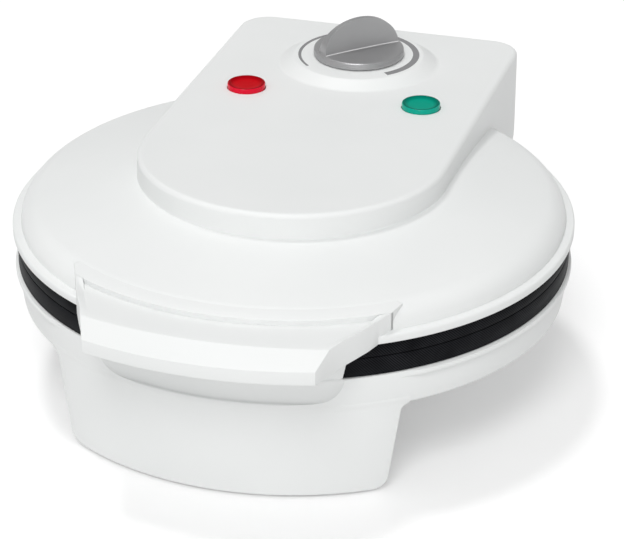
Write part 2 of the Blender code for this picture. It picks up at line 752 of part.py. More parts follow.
def plate_form(facing, flange_depth, flange_inner):
    # Depths run away from the parting plane: down for the lower plate, up for the upper one.
    land = SEAT_GAP / 2
    face = land + FACE_RECESS
    land_inner = plate_radius - LAND_WIDTH
    face_rings = [FLOWER_CORE, FLOWER_RADIUS, RING_RADIUS, PETAL_MIDDLE, PETAL_RADIUS, BAND_RADIUS,
                  BORDER_INNER, BORDER_MIDDLE, BORDER_RADIUS]
    skin = bmesh.new()
    centre = skin.verts.new((0, 0, parting_z + facing * (face - PATTERN_HEIGHT)))
    rings = []
    for radius in face_rings:
        ring = []
        for i in range(PLATE_STEPS):
            angle = 2 * math.pi * i / PLATE_STEPS
            depth = face - PATTERN_HEIGHT * pattern_height(radius, angle)
            place = (radius * math.cos(angle), radius * math.sin(angle), parting_z + facing * depth)
            ring.append(skin.verts.new(place))
        rings.append(ring)
    sides = [(land_inner - FACE_SLOPE, face), (land_inner, land), (plate_radius, land),
             (plate_radius, flange_depth), (flange_inner, flange_depth), (flange_inner - MERGE, plate_back)]
    for radius, depth in sides:
        ring = []
        for i in range(PLATE_STEPS):
            angle = 2 * math.pi * i / PLATE_STEPS
            place = (radius * math.cos(angle), radius * math.sin(angle), parting_z + facing * depth)
            ring.append(skin.verts.new(place))
        rings.append(ring)
    for i in range(PLATE_STEPS):
        skin.faces.new((centre, rings[0][i], rings[0][(i + 1) % PLATE_STEPS]))
    for near, far in zip(rings, rings[1:]):
        for i in range(PLATE_STEPS):
            j = (i + 1) % PLATE_STEPS
            skin.faces.new((near[i], far[i], far[j], near[j]))
    skin.faces.new(rings[-1])
    plate = solid(skin)

    far_side = parting_z + facing * (plate_back - MERGE)
    boss_end = parting_z + facing * stack_plate
    low, high = sorted((far_side, boss_end))
    bosses = [cylinder(x, y, PLATE_BOSS_RADIUS, low, high, SCREW_STEPS) for x, y in screw_places()]
    combine(plate, [together(bosses)], "UNION")
    seat = parting_z + facing * (face + SCREW_HEAD_HEIGHT + SEAT_GAP)
    opening = parting_z - facing * PAST / 4
    head_room = SCREW_HEAD_RADIUS + 2 * SEAT_GAP
    cuts = [cylinder(x, y, head_room, min(seat, opening), max(seat, opening), SCREW_STEPS)
            for x, y in screw_places()]
    combine(plate, [together(cuts)], "DIFFERENCE")
    beyond = parting_z + facing * (stack_plate + PAST)
    low = min(seat, beyond) - MERGE
    high = max(seat, beyond) + MERGE
    cuts = [cylinder(x, y, SCREW_RADIUS + SEAT_GAP, low, high, SCREW_STEPS) for x, y in screw_places()]
    return tidied(combine(plate, [together(cuts)], "DIFFERENCE"))


def screw_seat_depth():
    return SEAT_GAP / 2 + FACE_RECESS + SCREW_HEAD_HEIGHT


def screw_tip(direction):
    return parting_z - direction * (screw_seat_depth() + SCREW_LENGTH)


def plate_screw(x, y, facing):
    seat = parting_z + facing * screw_seat_depth()
    return headed_screw(x, y, seat, seat + facing * SCREW_LENGTH)


def spacer(x, y, facing):
    near = parting_z + facing * (stack_plate + SEAT_GAP)
    far = parting_z + facing * stack_spacer
    bore = SCREW_RADIUS + 2 * SEAT_GAP
    profile = [(bore, near), (SPACER_RADIUS, near), (SPACER_RADIUS, far), (bore, far)]
    return turned(profile, SCREW_STEPS, (x, y))


def element_path(facing):
    # An open ring under the plate's back whose ends turn away from it as terminals.
    level = parting_z + facing * element_level
    gap_angle = math.asin(TERMINAL_HALF_SPACING / ELEMENT_RING_RADIUS)
    bend = 2 * ELEMENT_RADIUS
    bend_angle = bend / ELEMENT_RING_RADIUS
    steps = ELEMENT_STEPS
    start = math.pi / 2 + gap_angle
    span = 2 * math.pi - 2 * gap_angle
    path = []
    for end, turning in ((start, -1), (start + span, 1)):
        leg = []
        for height, share in ((terminal_reach, 0.0), (bend, 0.0), (bend / 3, 0.22), (0.0, 1.0)):
            angle = end - turning * bend_angle * share
            leg.append(Vector((ELEMENT_RING_RADIUS * math.cos(angle), ELEMENT_RING_RADIUS * math.sin(angle),
                               level + facing * height)))
        path.append(leg)
    ring = []
    for i in range(1, steps):
        angle = start + bend_angle + (span - 2 * bend_angle) * i / steps
        x = ELEMENT_RING_RADIUS * math.cos(angle)
        y = ELEMENT_RING_RADIUS * math.sin(angle)
        ring.append(Vector((x, y, level)))
    return path[0] + ring + list(reversed(path[1]))


def reflector(facing):
    # Pressed steel dish behind the element, held at its flat rim by the plate screws.
    rim_near = parting_z + facing * (stack_spacer + SEAT_GAP)
    rim_far = rim_near + facing * SHEET
    dish = facing * REFLECTOR_DISH
    dish_outer = reflector_radius - REFLECTOR_DISH_MARGIN
    dish_inner = dish_outer - 2 * REFLECTOR_DISH
    sheet = turned([(0, rim_near + dish), (dish_inner, rim_near + dish), (dish_outer, rim_near),
                    (reflector_radius, rim_near), (reflector_radius, rim_far), (dish_outer, rim_far),
                    (dish_inner, rim_far + dish), (0, rim_far + dish)], REFLECTOR_STEPS)
    low = min(rim_near, rim_far + dish) - PAST
    high = max(rim_near, rim_far + dish) + PAST
    cuts = [cylinder(x, y, SCREW_RADIUS + 2 * SEAT_GAP, low, high, SCREW_STEPS) for x, y in screw_places()]
    terminal_y = math.sqrt(ELEMENT_RING_RADIUS ** 2 - TERMINAL_HALF_SPACING ** 2)
    for x in (-TERMINAL_HALF_SPACING, TERMINAL_HALF_SPACING):
        cuts.append(cylinder(x, terminal_y, ELEMENT_RADIUS + WALL, low, high, SCREW_STEPS))
    return tidied(combine(sheet, [together(cuts)], "DIFFERENCE"))


def dome_profile():
    # From the axis over the flat crown, down the cone and shoulder to the rim land and bead.
    base_z = lid_rim_z
    profile = [(0, crown_z), (cone_top_radius - 2.5 * CROWN_BLEND, crown_z),
               (cone_top_radius, crown_z - CROWN_EASE)]
    for i in range(SHOULDER_STEPS + 1):
        turn = math.pi / 2 * i / SHOULDER_STEPS
        radius = shoulder_inner + SHOULDER_WIDTH * math.sin(turn)
        height = lid_rim_z + RIM_HEIGHT + (SHOULDER_RISE - RIM_HEIGHT) * math.cos(turn)
        profile.append((radius, height))
    rim_top = base_z + RIM_HEIGHT
    profile += [(LID_RADIUS - RIM_EDGE, rim_top), (LID_RADIUS, rim_top - RIM_EDGE),
                (LID_RADIUS, base_z + RIM_EDGE / 2), (LID_RADIUS - RIM_EDGE / 2, base_z), (0, base_z)]
    return profile


def dome_form():
    return turned(dome_profile(), SHELL_STEPS)


def dome_cavity():
    shrink = (LID_RADIUS - RIM_WALL) / LID_RADIUS
    profile = []
    for radius, height in dome_profile()[:SHOULDER_STEPS + 3]:
        profile.append((radius * shrink, height - WALL))
    outer = LID_RADIUS - RIM_WALL
    profile += [(outer, lid_rim_z + WALL / 2), (outer, lid_rim_z - PAST), (0, lid_rim_z - PAST)]
    return turned(profile, SHELL_STEPS)


def console_top(y):
    # The console's top falls gently from its front to its rear.
    return console_z + CONSOLE_SLOPE * (DIAL_Y - y)


def console_outline(inset):
    # A half round front and straight sides to a rear edge with rounded corners.
    half = CONSOLE_HALF_WIDTH - inset
    corner = CONSOLE_CORNER - inset
    outline = []
    for i in range(CONSOLE_FRONT_STEPS + 1):
        angle = math.pi + math.pi * i / CONSOLE_FRONT_STEPS
        outline.append((half * math.cos(angle), half * math.sin(angle)))
    for side in (0, 1):
        centre_x = (1 - 2 * side) * (CONSOLE_HALF_WIDTH - CONSOLE_CORNER)
        for i in range(CORNER_STEPS + 1):
            angle = math.pi / 2 * (side + i / CORNER_STEPS)
            outline.append((centre_x + corner * math.cos(angle),
                            console_rear_y - CONSOLE_CORNER + corner * math.sin(angle)))
    return outline


def level_console_loop(z, inset):
    return [(x, y, z) for x, y in console_outline(inset)]


def sloped_console_loop(below_top, inset):
    return [(x, y, console_top(y) - below_top) for x, y in console_outline(inset)]


def console_form():
    edge = CONSOLE_EDGE
    loops = [level_console_loop(lid_rim_z + RIM_HEIGHT - MERGE, 0.0)]
    for turn in (0, 45, 90):
        angle = math.radians(turn)
        loops.append(sloped_console_loop(edge - edge * math.sin(angle), edge - edge * math.cos(angle)))
    return loft(loops)


def console_cavity():
    low = lid_rim_z - TOWER_DROP - PAST
    edge = CONSOLE_EDGE / 2
    return loft([level_console_loop(low, WALL), sloped_console_loop(WALL + edge, WALL),
                 sloped_console_loop(WALL, WALL + edge)])


def tower_loop(z, front_y, rear_y, inset):
    half = CONSOLE_HALF_WIDTH - inset
    corner = CONSOLE_CORNER
    loop = [(-half, front_y, z), (half, front_y, z)]
    for side in (0, 1):
        centre_x = (1 - 2 * side) * (half - corner)
        for i in range(CORNER_STEPS + 1):
            angle = math.pi / 2 * (side + i / CORNER_STEPS)
            loop.append((centre_x + corner * math.cos(angle), rear_y - corner + corner * math.sin(angle), z))
    return loop


def tower_form():
    # The console's sides run down behind the lid rim and cover the hinge.
    meet_y = math.sqrt(LID_RADIUS ** 2 - CONSOLE_HALF_WIDTH ** 2) + TOWER_FRONT_GAP
    drop = TOWER_DROP
    sweep = hinge_y - HINGE_BOSS_RADIUS - TOWER_ARCH_SETBACK - meet_y
    loops = []
    for fall, share in ((1.0, 1.0), (0.87, 0.62), (0.6, 0.28), (0.3, 0.08), (0.0, 0.0)):
        z = lid_rim_z - drop * fall
        above_foot = z - (lid_rim_z - drop)
        missing = max(TOWER_FOOT_ROUND - above_foot, 0)
        tuck = TOWER_FOOT_ROUND - math.sqrt(TOWER_FOOT_ROUND ** 2 - missing ** 2)
        loops.append(tower_loop(z, meet_y + sweep * share, console_rear_y - tuck, 0.0))
    inside_y = meet_y - 3 * WALL
    loops.append(tower_loop(lid_rim_z + MERGE, inside_y, console_rear_y, 0.0))
    loops.append(tower_loop(crown_z, inside_y, console_rear_y, 0.0))
    return loft(loops)


def dial_boss_form(inset):
    low = console_z - WALL - MERGE - inset
    high = dial_boss_z - inset
    foot = DIAL_BOSS_RADIUS - inset
    top = DIAL_BOSS_TOP_RADIUS - inset
    edge = HANDLE_EDGE
    return turned([(0, low), (foot, low), (foot, console_z - inset), (top + edge, high - edge),
                   (top - edge, high), (0, high)], DIAL_STEPS, (0, DIAL_Y))


def flank_half(y):
    # Half width of the handle at a distance in front of the plates' centre.
    crease_y = handle_front_y - CREASE_SETBACK - HANDLE_BOW
    root_y = LID_RADIUS - HANDLE_ROOT_SETBACK
    share = (y - root_y) / (crease_y - root_y)
    return HANDLE_ROOT_HALF + (HANDLE_CREASE_HALF - HANDLE_ROOT_HALF) * share


def flank_on_circle(radius):
    # Half width and side y where the flank crosses a circle about the plates' centre.
    half = HANDLE_ROOT_HALF
    for _ in range(12):
        half = min(flank_half(math.sqrt(radius ** 2 - half ** 2)), HANDLE_ROOT_HALF)
    return half, math.sqrt(radius ** 2 - half ** 2)


def cone_height(radius):
    return lid_rim_z + SHOULDER_RISE - cone_slope * (radius - shoulder_inner)


def handle_form():
    # Rows across the handle, from inside the dome to the lip. Each row is an arc in plan.
    step_radius = LID_RADIUS - STEP_SETBACK
    crease_y = handle_front_y - CREASE_SETBACK
    crease_z = lid_rim_z + CREASE_RISE
    lip_z = lid_rim_z + LIP_TOP
    under = lid_rim_z - HANDLE_DROP
    under_root = under + HANDLE_UNDER_RISE
    inside = lid_rim_z + RIM_HEIGHT / 2
    guard_radius = plate_radius + GUARD_GAP
    step_top = cone_height(step_radius)
    rows = []
    for setback, lift in ((HANDLE_INNER_SETBACK, -HANDLE_INNER_SINK),
                          (HANDLE_SHOULDER_SETBACK, HANDLE_SHOULDER_LIFT)):
        radius = LID_RADIUS - setback
        half, side_y = flank_on_circle(radius)
        height = cone_height(radius) + lift
        rows.append((radius, half, side_y, height, height, height - HANDLE_ROOT_DEPTH))
    half, side_y = flank_on_circle(step_radius)
    rows.append((step_radius, half, side_y, step_top, step_top, inside))
    half, side_y = flank_on_circle(step_radius + MERGE / 2)
    rows.append((step_radius + MERGE / 2, half, side_y, step_top, step_top - STEP_DROP, inside))
    for share, floor in ((0.4, inside), (0.6, under_root)):
        radius = guard_radius + GUARD_THICKNESS * share
        half, side_y = flank_on_circle(radius)
        share = (radius - step_radius) / (crease_y - step_radius)
        margin = step_top + (crease_z - step_top) * share
        middle = step_top - STEP_DROP + (crease_z - step_top + STEP_DROP) * share
        rows.append((radius, half, side_y, margin, middle, floor))
    rows.append((crease_y, HANDLE_CREASE_HALF, crease_y - HANDLE_BOW, crease_z, crease_z, under))
    front = handle_front_y
    edge = HANDLE_EDGE
    lip_edge_z = lip_z + edge
    rows.append((front - edge, HANDLE_LIP_HALF, front - edge - HANDLE_BOW, lip_edge_z, lip_edge_z, under))
    rows.append((front, HANDLE_LIP_HALF - edge / 2, front - HANDLE_BOW, lip_z, lip_z, under + edge))
    half_columns = [0.3, 0.6, STEP_SHARE, STEP_SHARE + STEP_RAMP, 1]
    columns = [-u for u in reversed(half_columns)] + [0] + half_columns
    loops = []
    for middle_y, half, side_y, margin, middle, floor in rows:
        upper = []
        lower = []
        for u in columns:
            y = -(middle_y + (side_y - middle_y) * u * u)
            top = middle if abs(u) <= STEP_SHARE else margin
            upper.append((half * u, y, top))
            lower.append((half * u, y, floor))
        loops.append(upper + list(reversed(lower)))
    return loft(loops)


def guard_form():
    # A wall that hangs from the handle in front of the hot plate edges.
    inner = plate_radius + GUARD_GAP
    outer = inner + GUARD_THICKNESS
    low = pan_rim_z + 2 * GUARD_GAP
    half_angle = math.asin(GUARD_HALF_WIDTH / outer)
    return loft([sector_loop(z, inner, outer, half_angle, -1) for z in (low, lid_rim_z + RIM_HEIGHT * 0.6)])


def hinge_boss(side):
    ends = sorted((side * hinge_boss_x, side * (CONSOLE_HALF_WIDTH - WALL + MERGE)))
    return rod_along_x(ends[0], ends[1], hinge_y, parting_z, HINGE_BOSS_RADIUS)


def bracket_top():
    return console_inner_z - POST_LENGTH - SEAT_GAP


def lid_housing():
    additions = [console_form(), tower_form(), dial_boss_form(0.0), handle_form(), guard_form()]
    shell = combine(dome_form(), additions, "UNION")
    combine(shell, [dome_cavity(), console_cavity(), dial_boss_form(WALL)], "DIFFERENCE")

    boss_end = parting_z + stack_boss
    screw_bosses = []
    for x, y in screw_places():
        ceiling = cone_height(screw_circle) - WALL + MERGE
        screw_bosses.append(cylinder(x, y, SPACER_RADIUS, boss_end, ceiling, SCREW_STEPS))
    posts = [cylinder(side * BRACKET_SCREW_X, DIAL_Y, POST_RADIUS, console_inner_z - POST_LENGTH,
                      dial_boss_z - WALL + MERGE, SCREW_STEPS) for side in (-1, 1)]
    combine(shell, [together(screw_bosses + [hinge_boss(-1), hinge_boss(1)]), together(posts)], "UNION")

    pilot_end = parting_z + screw_seat_depth() + SCREW_LENGTH + MERGE
    pilots = [cylinder(x, y, SCREW_RADIUS + SEAT_GAP, boss_end - PAST, pilot_end, SCREW_STEPS)
              for x, y in screw_places()]
    pin_holes = []
    for side in (-1, 1):
        ends = sorted((side * (hinge_boss_x - PAST), side * (CONSOLE_HALF_WIDTH - WALL)))
        pin_holes.append(rod_along_x(ends[0], ends[1], hinge_y, parting_z, PIN_RADIUS + PIN_CLEARANCE))
    lens_holes = [cylinder(side * LENS_X, LENS_Y, LENS_RADIUS + SEAT_GAP, console_inner_z - PAST,
                           console_top(LENS_Y) + PAST, LENS_STEPS) for side in (-1, 1)]
    spindle_room = SPINDLE_RADIUS + 3 * SPINDLE_CLEARANCE
    spindle_hole = cylinder(0, DIAL_Y, spindle_room, console_inner_z, dial_boss_z + PAST)
    post_holes = [cylinder(side * BRACKET_SCREW_X, DIAL_Y, SCREW_RADIUS + SEAT_GAP,
                           console_inner_z - POST_LENGTH - PAST, console_inner_z - MERGE, SCREW_STEPS)
                  for side in (-1, 1)]
    holes = together(pilots + pin_holes + lens_holes + [spindle_hole] + post_holes)
    return tidied(combine(shell, [holes], "DIFFERENCE"))


def hinge_pin(side):
    ends = sorted((side * (knuckle_inner_x + SEAT_GAP), side * (CONSOLE_HALF_WIDTH - WALL - 2 * SEAT_GAP)))
    return rod_along_x(ends[0], ends[1], hinge_y, parting_z, PIN_RADIUS)


def lens_flange_top():
    # Below the lowest point of the sloping roof over the flange.
    return console_top(LENS_Y + LENS_RADIUS + LENS_FLANGE) - WALL - SEAT_GAP


def lens_form(side):
    # Button lens with a dished face and a retaining flange under the console.
    flange_top = lens_flange_top()
    flange_low = flange_top - LENS_FLANGE_THICKNESS
    high = console_top(LENS_Y) + LENS_STAND
    r = LENS_RADIUS
    edge = LENS_EDGE
    flange = r + LENS_FLANGE
    profile = [(0, flange_low), (flange, flange_low), (flange, flange_top), (r, flange_top),
               (r, high - edge), (r - edge, high), (r - 3 * edge, high), (r - 5 * edge, high - edge),
               (0, high - edge)]
    return turned(profile, LENS_STEPS, (side * LENS_X, LENS_Y))


def lamp_form(side):
    high = lens_flange_top() - LENS_FLANGE_THICKNESS - SEAT_GAP
    low = high - LAMP_LENGTH
    r = LAMP_RADIUS
    profile = [(0, low), (r, low), (r, high - r * 0.6), (r * 0.7, high - r * 0.15), (0, high)]
    return turned(profile, SCREW_STEPS, (side * LENS_X, LENS_Y))


def thermostat_bracket():
    high = bracket_top()
    low = high - BRACKET_THICKNESS
    plate = block((-BRACKET_HALF_LENGTH, DIAL_Y - BRACKET_HALF_WIDTH, low),
                  (BRACKET_HALF_LENGTH, DIAL_Y + BRACKET_HALF_WIDTH, high))
    cuts = []
    for x in (-BRACKET_SCREW_X, BRACKET_SCREW_X):
        cuts.append(cylinder(x, DIAL_Y, SCREW_RADIUS + SEAT_GAP, low - PAST, high + PAST, SCREW_STEPS))
    cuts.append(cylinder(0, DIAL_Y, neck_radius() + SEAT_GAP, low - PAST, high + PAST))
    return tidied(combine(plate, [together(cuts)], "DIFFERENCE"))


def neck_radius():
    return SPINDLE_RADIUS + SPINDLE_CLEARANCE + NECK_WALL


def thermostat_body():
    # A moulded case with a threaded neck that passes up through the bracket.
    high = bracket_top() - BRACKET_THICKNESS - SEAT_GAP
    low = high - THERMOSTAT_HEIGHT
    half = THERMOSTAT_HALF_WIDTH
    deep = THERMOSTAT_HALF_DEPTH
    cut = THERMOSTAT_CORNER
    outline = [(-half + cut, -deep), (half - cut, -deep), (half, -deep + cut), (half, deep - cut),
               (half - cut, deep), (-half + cut, deep), (-half, deep - cut), (-half, -deep + cut)]
    case = loft([[(x, DIAL_Y + y, z) for x, y in outline] for z in (low, high)])
    neck = cylinder(0, DIAL_Y, neck_radius(), high - MERGE, console_inner_z - SEAT_GAP)
    combine(case, [neck], "UNION")
    bore = cylinder(0, DIAL_Y, SPINDLE_RADIUS + SPINDLE_CLEARANCE, spindle_low() - SEAT_GAP, console_z)
    return tidied(combine(case, [bore], "DIFFERENCE"))


def spindle_low():
    return bracket_top() - BRACKET_THICKNESS - THERMOSTAT_HEIGHT / 2


def bracket_screw(side):
    seat = bracket_top() - BRACKET_THICKNESS - SEAT_GAP
    return headed_screw(side * BRACKET_SCREW_X, DIAL_Y, seat, console_inner_z - 2 * MERGE)


def knob_low():
    return dial_boss_z + SEAT_GAP


def spindle_high():
    return knob_low() + KNOB_SKIRT + KNOB_CREASE_RISE


def spindle_form():
    # A round shaft with a flat on its upper end.
    shaft = cylinder(0, DIAL_Y, SPINDLE_RADIUS, spindle_low(), spindle_high(), SPINDLE_STEPS)
    flat = SPINDLE_RADIUS * 0.6
    reach = 2 * SPINDLE_RADIUS
    cut = block((flat, DIAL_Y - reach, knob_low()), (reach, DIAL_Y + reach, spindle_high() + PAST))
    combine(shaft, [cut], "DIFFERENCE")
    return tidied(turned_about_dial(shaft))


def turned_about_dial(form):
    place = Matrix.Translation((0, DIAL_Y, 0))
    form.data.transform(place @ Matrix.Rotation(KNOB_TURN, 4, "Z") @ place.inverted())
    return form


def knob_form():
    # A low dome on a skirt, scooped away on both sides to leave a half-moon grip.
    low = knob_low()
    skirt = low + KNOB_SKIRT
    apex = low + KNOB_HEIGHT
    cap_radius = KNOB_RADIUS - KNOB_LEDGE
    edge = KNOB_EDGE
    profile = [(0, low), (KNOB_RADIUS - edge, low), (KNOB_RADIUS, low + edge), (KNOB_RADIUS - edge, skirt),
               (cap_radius, skirt + edge)]
    for i in range(1, KNOB_DOME_STEPS):
        turn = math.pi / 2 * i / KNOB_DOME_STEPS
        profile.append((cap_radius * math.cos(turn), skirt + (apex - skirt) * math.sin(turn)))
    profile.append((0, apex))
    knob = turned(profile, DIAL_STEPS, (0, DIAL_Y))
    scoops = []
    for side in (-1, 1):
        outline = [(side * KNOB_FIN_HALF * 1.5, skirt + KNOB_CREASE_RISE),
                   (side * KNOB_FIN_HALF, apex + PAST),
                   (side * (KNOB_RADIUS + PAST), apex + PAST),
                   (side * (KNOB_RADIUS + PAST), skirt - edge / 2),
                   (side * (KNOB_RADIUS - 3 * KNOB_LEDGE), skirt + edge / 2)]
        reach = KNOB_RADIUS + PAST
        scoops.append(loft([[(x, DIAL_Y + y, z) for x, z in outline] for y in (-reach, reach)]))
    combine(knob, [together(scoops)], "DIFFERENCE")
    top = spindle_high() + SEAT_GAP
    socket = cylinder(0, DIAL_Y, SPINDLE_RADIUS + SEAT_GAP, low - PAST, top, SPINDLE_STEPS)
    combine(knob, [socket], "DIFFERENCE")
    return tidied(turned_about_dial(knob))


def fuse_form():
    # A thermal fuse that lies on the upper reflector.
    level = parting_z + stack_spacer + SEAT_GAP + SHEET + REFLECTOR_DISH + SEAT_GAP + FUSE_RADIUS
    return rod_along_x(-FUSE_LENGTH / 2, FUSE_LENGTH / 2, FUSE_Y, level, FUSE_RADIUS)


def build():
    clear_scene()
    iron = add_pivot("iron", (0, plates_y, 0), None)
    hinge_place = (0, hinge_y, parting_z)
    dial_place = (0, DIAL_Y, dial_boss_z)
    lid_pivot = add_pivot("lid_hinge", hinge_place, iron)
    dial_offset = Vector(dial_place) - Vector(hinge_place)
    knob_pivot = add_pivot("knob_axis", dial_offset, lid_pivot)

    def on_base(form, name, finish):
        finish_piece(form, name, iron, (0, 0, 0), finish)

    def on_lid(form, name, finish):
        finish_piece(form, name, lid_pivot, hinge_place, finish)

    def on_knob(form, name, finish):
        finish_piece(form, name, knob_pivot, dial_place, finish)

    on_base(base_housing(), "base_housing", WHITE_PLASTIC)
    lower_flange = parting_z - pan_rim_z - SEAT_GAP
    on_base(plate_form(-1, lower_flange, plate_radius - 2 * LAND_WIDTH), "lower_plate", DARK_CAST)
    on_base(tube(element_path(-1), ELEMENT_RADIUS, ELEMENT_SIDES), "lower_element", ELEMENT_STEEL)
    on_base(reflector(-1), "lower_reflector", STEEL)
    on_base(rear_leg_cover(), "rear_leg_cover", WHITE_PLASTIC)
    on_base(cord_grommet(), "cord_grommet", RUBBER)
    on_base(terminal_block(), "terminal_block", CERAMIC)
    for number, (x, y) in enumerate(cover_screw_places(), 1):
        on_base(cover_screw(x, y), f"cover_screw_{number}", STEEL)
    for name, x, y in foot_places():
        on_base(foot_pad(x, y), name, RUBBER)
    on_base(hinge_pin(-1), "hinge_pin_left", STEEL)
    on_base(hinge_pin(1), "hinge_pin_right", STEEL)

    on_lid(lid_housing(), "lid_housing", WHITE_PLASTIC)
    upper_flange = lid_rim_z - parting_z - SEAT_GAP
    on_lid(plate_form(1, upper_flange, plate_radius - LAND_WIDTH), "upper_plate", DARK_CAST)
    on_lid(tube(element_path(1), ELEMENT_RADIUS, ELEMENT_SIDES), "upper_element", ELEMENT_STEEL)
    on_lid(reflector(1), "upper_reflector", STEEL)
    on_lid(lens_form(-1), "red_lens", RED_LENS)
    on_lid(lens_form(1), "green_lens", GREEN_LENS)
    on_lid(lamp_form(-1), "red_lamp", LAMP_GLASS)
    on_lid(lamp_form(1), "green_lamp", LAMP_GLASS)
    on_lid(thermostat_bracket(), "thermostat_bracket", STEEL)
    on_lid(thermostat_body(), "thermostat_body", BAKELITE)
    on_lid(bracket_screw(-1), "bracket_screw_left", STEEL)
    on_lid(bracket_screw(1), "bracket_screw_right", STEEL)
    on_lid(fuse_form(), "thermal_fuse", CRIMP_WHITE)

    for number, (x, y) in enumerate(screw_places(), 1):
        on_base(plate_screw(x, y, -1), f"lower_plate_screw_{number}", STEEL)
        on_base(spacer(x, y, -1), f"lower_spacer_{number}", CERAMIC)
        on_lid(plate_screw(x, y, 1), f"upper_plate_screw_{number}", STEEL)
        on_lid(spacer(x, y, 1), f"upper_spacer_{number}", CERAMIC)

    on_knob(spindle_form(), "thermostat_spindle", STEEL)
    on_knob(knob_form(), "knob", SATIN_SILVER)


build()
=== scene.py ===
import json
import math

import bmesh
import bpy
from mathutils import Matrix, Vector


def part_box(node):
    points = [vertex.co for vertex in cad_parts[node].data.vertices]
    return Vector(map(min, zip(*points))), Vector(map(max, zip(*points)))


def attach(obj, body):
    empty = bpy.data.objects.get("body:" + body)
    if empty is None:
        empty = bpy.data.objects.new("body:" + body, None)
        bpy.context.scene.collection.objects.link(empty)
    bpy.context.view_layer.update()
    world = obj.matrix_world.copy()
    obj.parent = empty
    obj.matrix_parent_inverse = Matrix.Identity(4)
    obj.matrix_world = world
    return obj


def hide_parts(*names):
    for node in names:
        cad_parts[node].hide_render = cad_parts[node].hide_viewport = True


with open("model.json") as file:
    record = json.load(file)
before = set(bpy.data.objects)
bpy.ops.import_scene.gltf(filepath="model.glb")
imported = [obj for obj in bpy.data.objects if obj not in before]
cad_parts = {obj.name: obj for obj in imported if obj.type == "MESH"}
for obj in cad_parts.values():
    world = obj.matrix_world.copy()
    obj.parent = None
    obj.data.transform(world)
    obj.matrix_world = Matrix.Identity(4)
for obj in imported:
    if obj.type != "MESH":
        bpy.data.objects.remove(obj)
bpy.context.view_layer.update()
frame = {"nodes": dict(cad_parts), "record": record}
print("frame loaded:", len(frame["nodes"]), "nodes")

mm = 0.001

# places that every piece is built on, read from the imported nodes
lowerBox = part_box("lower_plate")
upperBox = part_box("upper_plate")
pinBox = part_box("hinge_pin_right")
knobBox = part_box("knob")
plateY = (upperBox[0].y + upperBox[1].y) / 2          # the round plates' centre line
partingZ = (lowerBox[1].z + upperBox[0].z) / 2
lidRimZ = partingZ + 5.8 * mm
panRimZ = partingZ - 7.6 * mm
panFootZ = panRimZ - 14.4 * mm
legHeight = 35.1 * mm
legFootZ = panFootZ - legHeight
crownZ = lidRimZ + 20.3 * mm
consoleZ = crownZ + 6.9 * mm                          # console top beside the dial
consoleSlope = 0.019                                  # it falls a little towards the rear
bossZ = consoleZ + 3.8 * mm
hingeY = (pinBox[0].y + pinBox[1].y) / 2
hingeZ = (pinBox[0].z + pinBox[1].z) / 2
dialY = plateY + 96.5 * mm
lensX = 36.8 * mm                                     # a pilot lens stands on each side of the middle
lensY = plateY + 56.5 * mm


def consoleTopZ(y):
    # y runs from the round plates' centre line
    return consoleZ + consoleSlope * (dialY - plateY - y)


# small tools for working as by hand

def deselectAll():
    if bpy.context.mode != "OBJECT":
        bpy.ops.object.mode_set(mode="OBJECT")
    bpy.ops.object.select_all(action="DESELECT")


def activate(piece):
    deselectAll()
    piece.select_set(True)
    bpy.context.view_layer.objects.active = piece


def editMode(piece):
    activate(piece)
    bpy.ops.object.mode_set(mode="EDIT")


def selectParts(piece, wanted, element="FACE"):
    # wanted says for each face, or each edge, whether it is selected
    bpy.ops.mesh.select_mode(type=element)
    bpy.ops.mesh.select_all(action="DESELECT")
    mesh = bmesh.from_edit_mesh(piece.data)
    for part in mesh.faces if element == "FACE" else mesh.edges:
        part.select = wanted(part)
    bmesh.update_edit_mesh(piece.data)


def placeSelected(piece, point):
    mesh = bmesh.from_edit_mesh(piece.data)
    for vertex in mesh.verts:
        if vertex.select:
            vertex.co = point
    bmesh.update_edit_mesh(piece.data)


def drawProfile(name, points, middleY):
    # a plane is merged to one vertex, which is extruded from point to point of (radius, height)
    deselectAll()
    bpy.ops.mesh.primitive_plane_add(size=0.01)
    piece = bpy.context.object
    piece.name = name
    bpy.ops.object.mode_set(mode="EDIT")
    bpy.ops.mesh.select_mode(type="VERT")
    bpy.ops.mesh.select_all(action="SELECT")
    bpy.ops.mesh.merge(type="CENTER")
    placeSelected(piece, (points[0][0], middleY, points[0][1]))
    for radius, height in points[1:]:
        bpy.ops.mesh.extrude_vertices_move()
        placeSelected(piece, (radius, middleY, height))
    return piece


def spinProfile(name, points, middleY, steps):
    piece = drawProfile(name, points, middleY)
    bpy.ops.mesh.select_all(action="SELECT")
    bpy.ops.mesh.spin(steps=steps, angle=2 * math.pi, center=(0, middleY, 0), axis=(0, 0, 1))
    cleanMesh()
    bpy.ops.object.mode_set(mode="OBJECT")
    return piece


def cleanMesh():
    bpy.ops.mesh.select_all(action="SELECT")
    bpy.ops.mesh.remove_doubles(threshold=0.000001)
    bpy.ops.mesh.normals_make_consistent(inside=False)
    bpy.ops.mesh.select_all(action="DESELECT")


def placeRing(piece, ring):
    mesh = bmesh.from_edit_mesh(piece.data)
    order = mesh.verts.layers.int["order"]
    for vertex in mesh.verts:
        if vertex.select:
            vertex.co = ring[vertex[order]]
    bmesh.update_edit_mesh(piece.data)


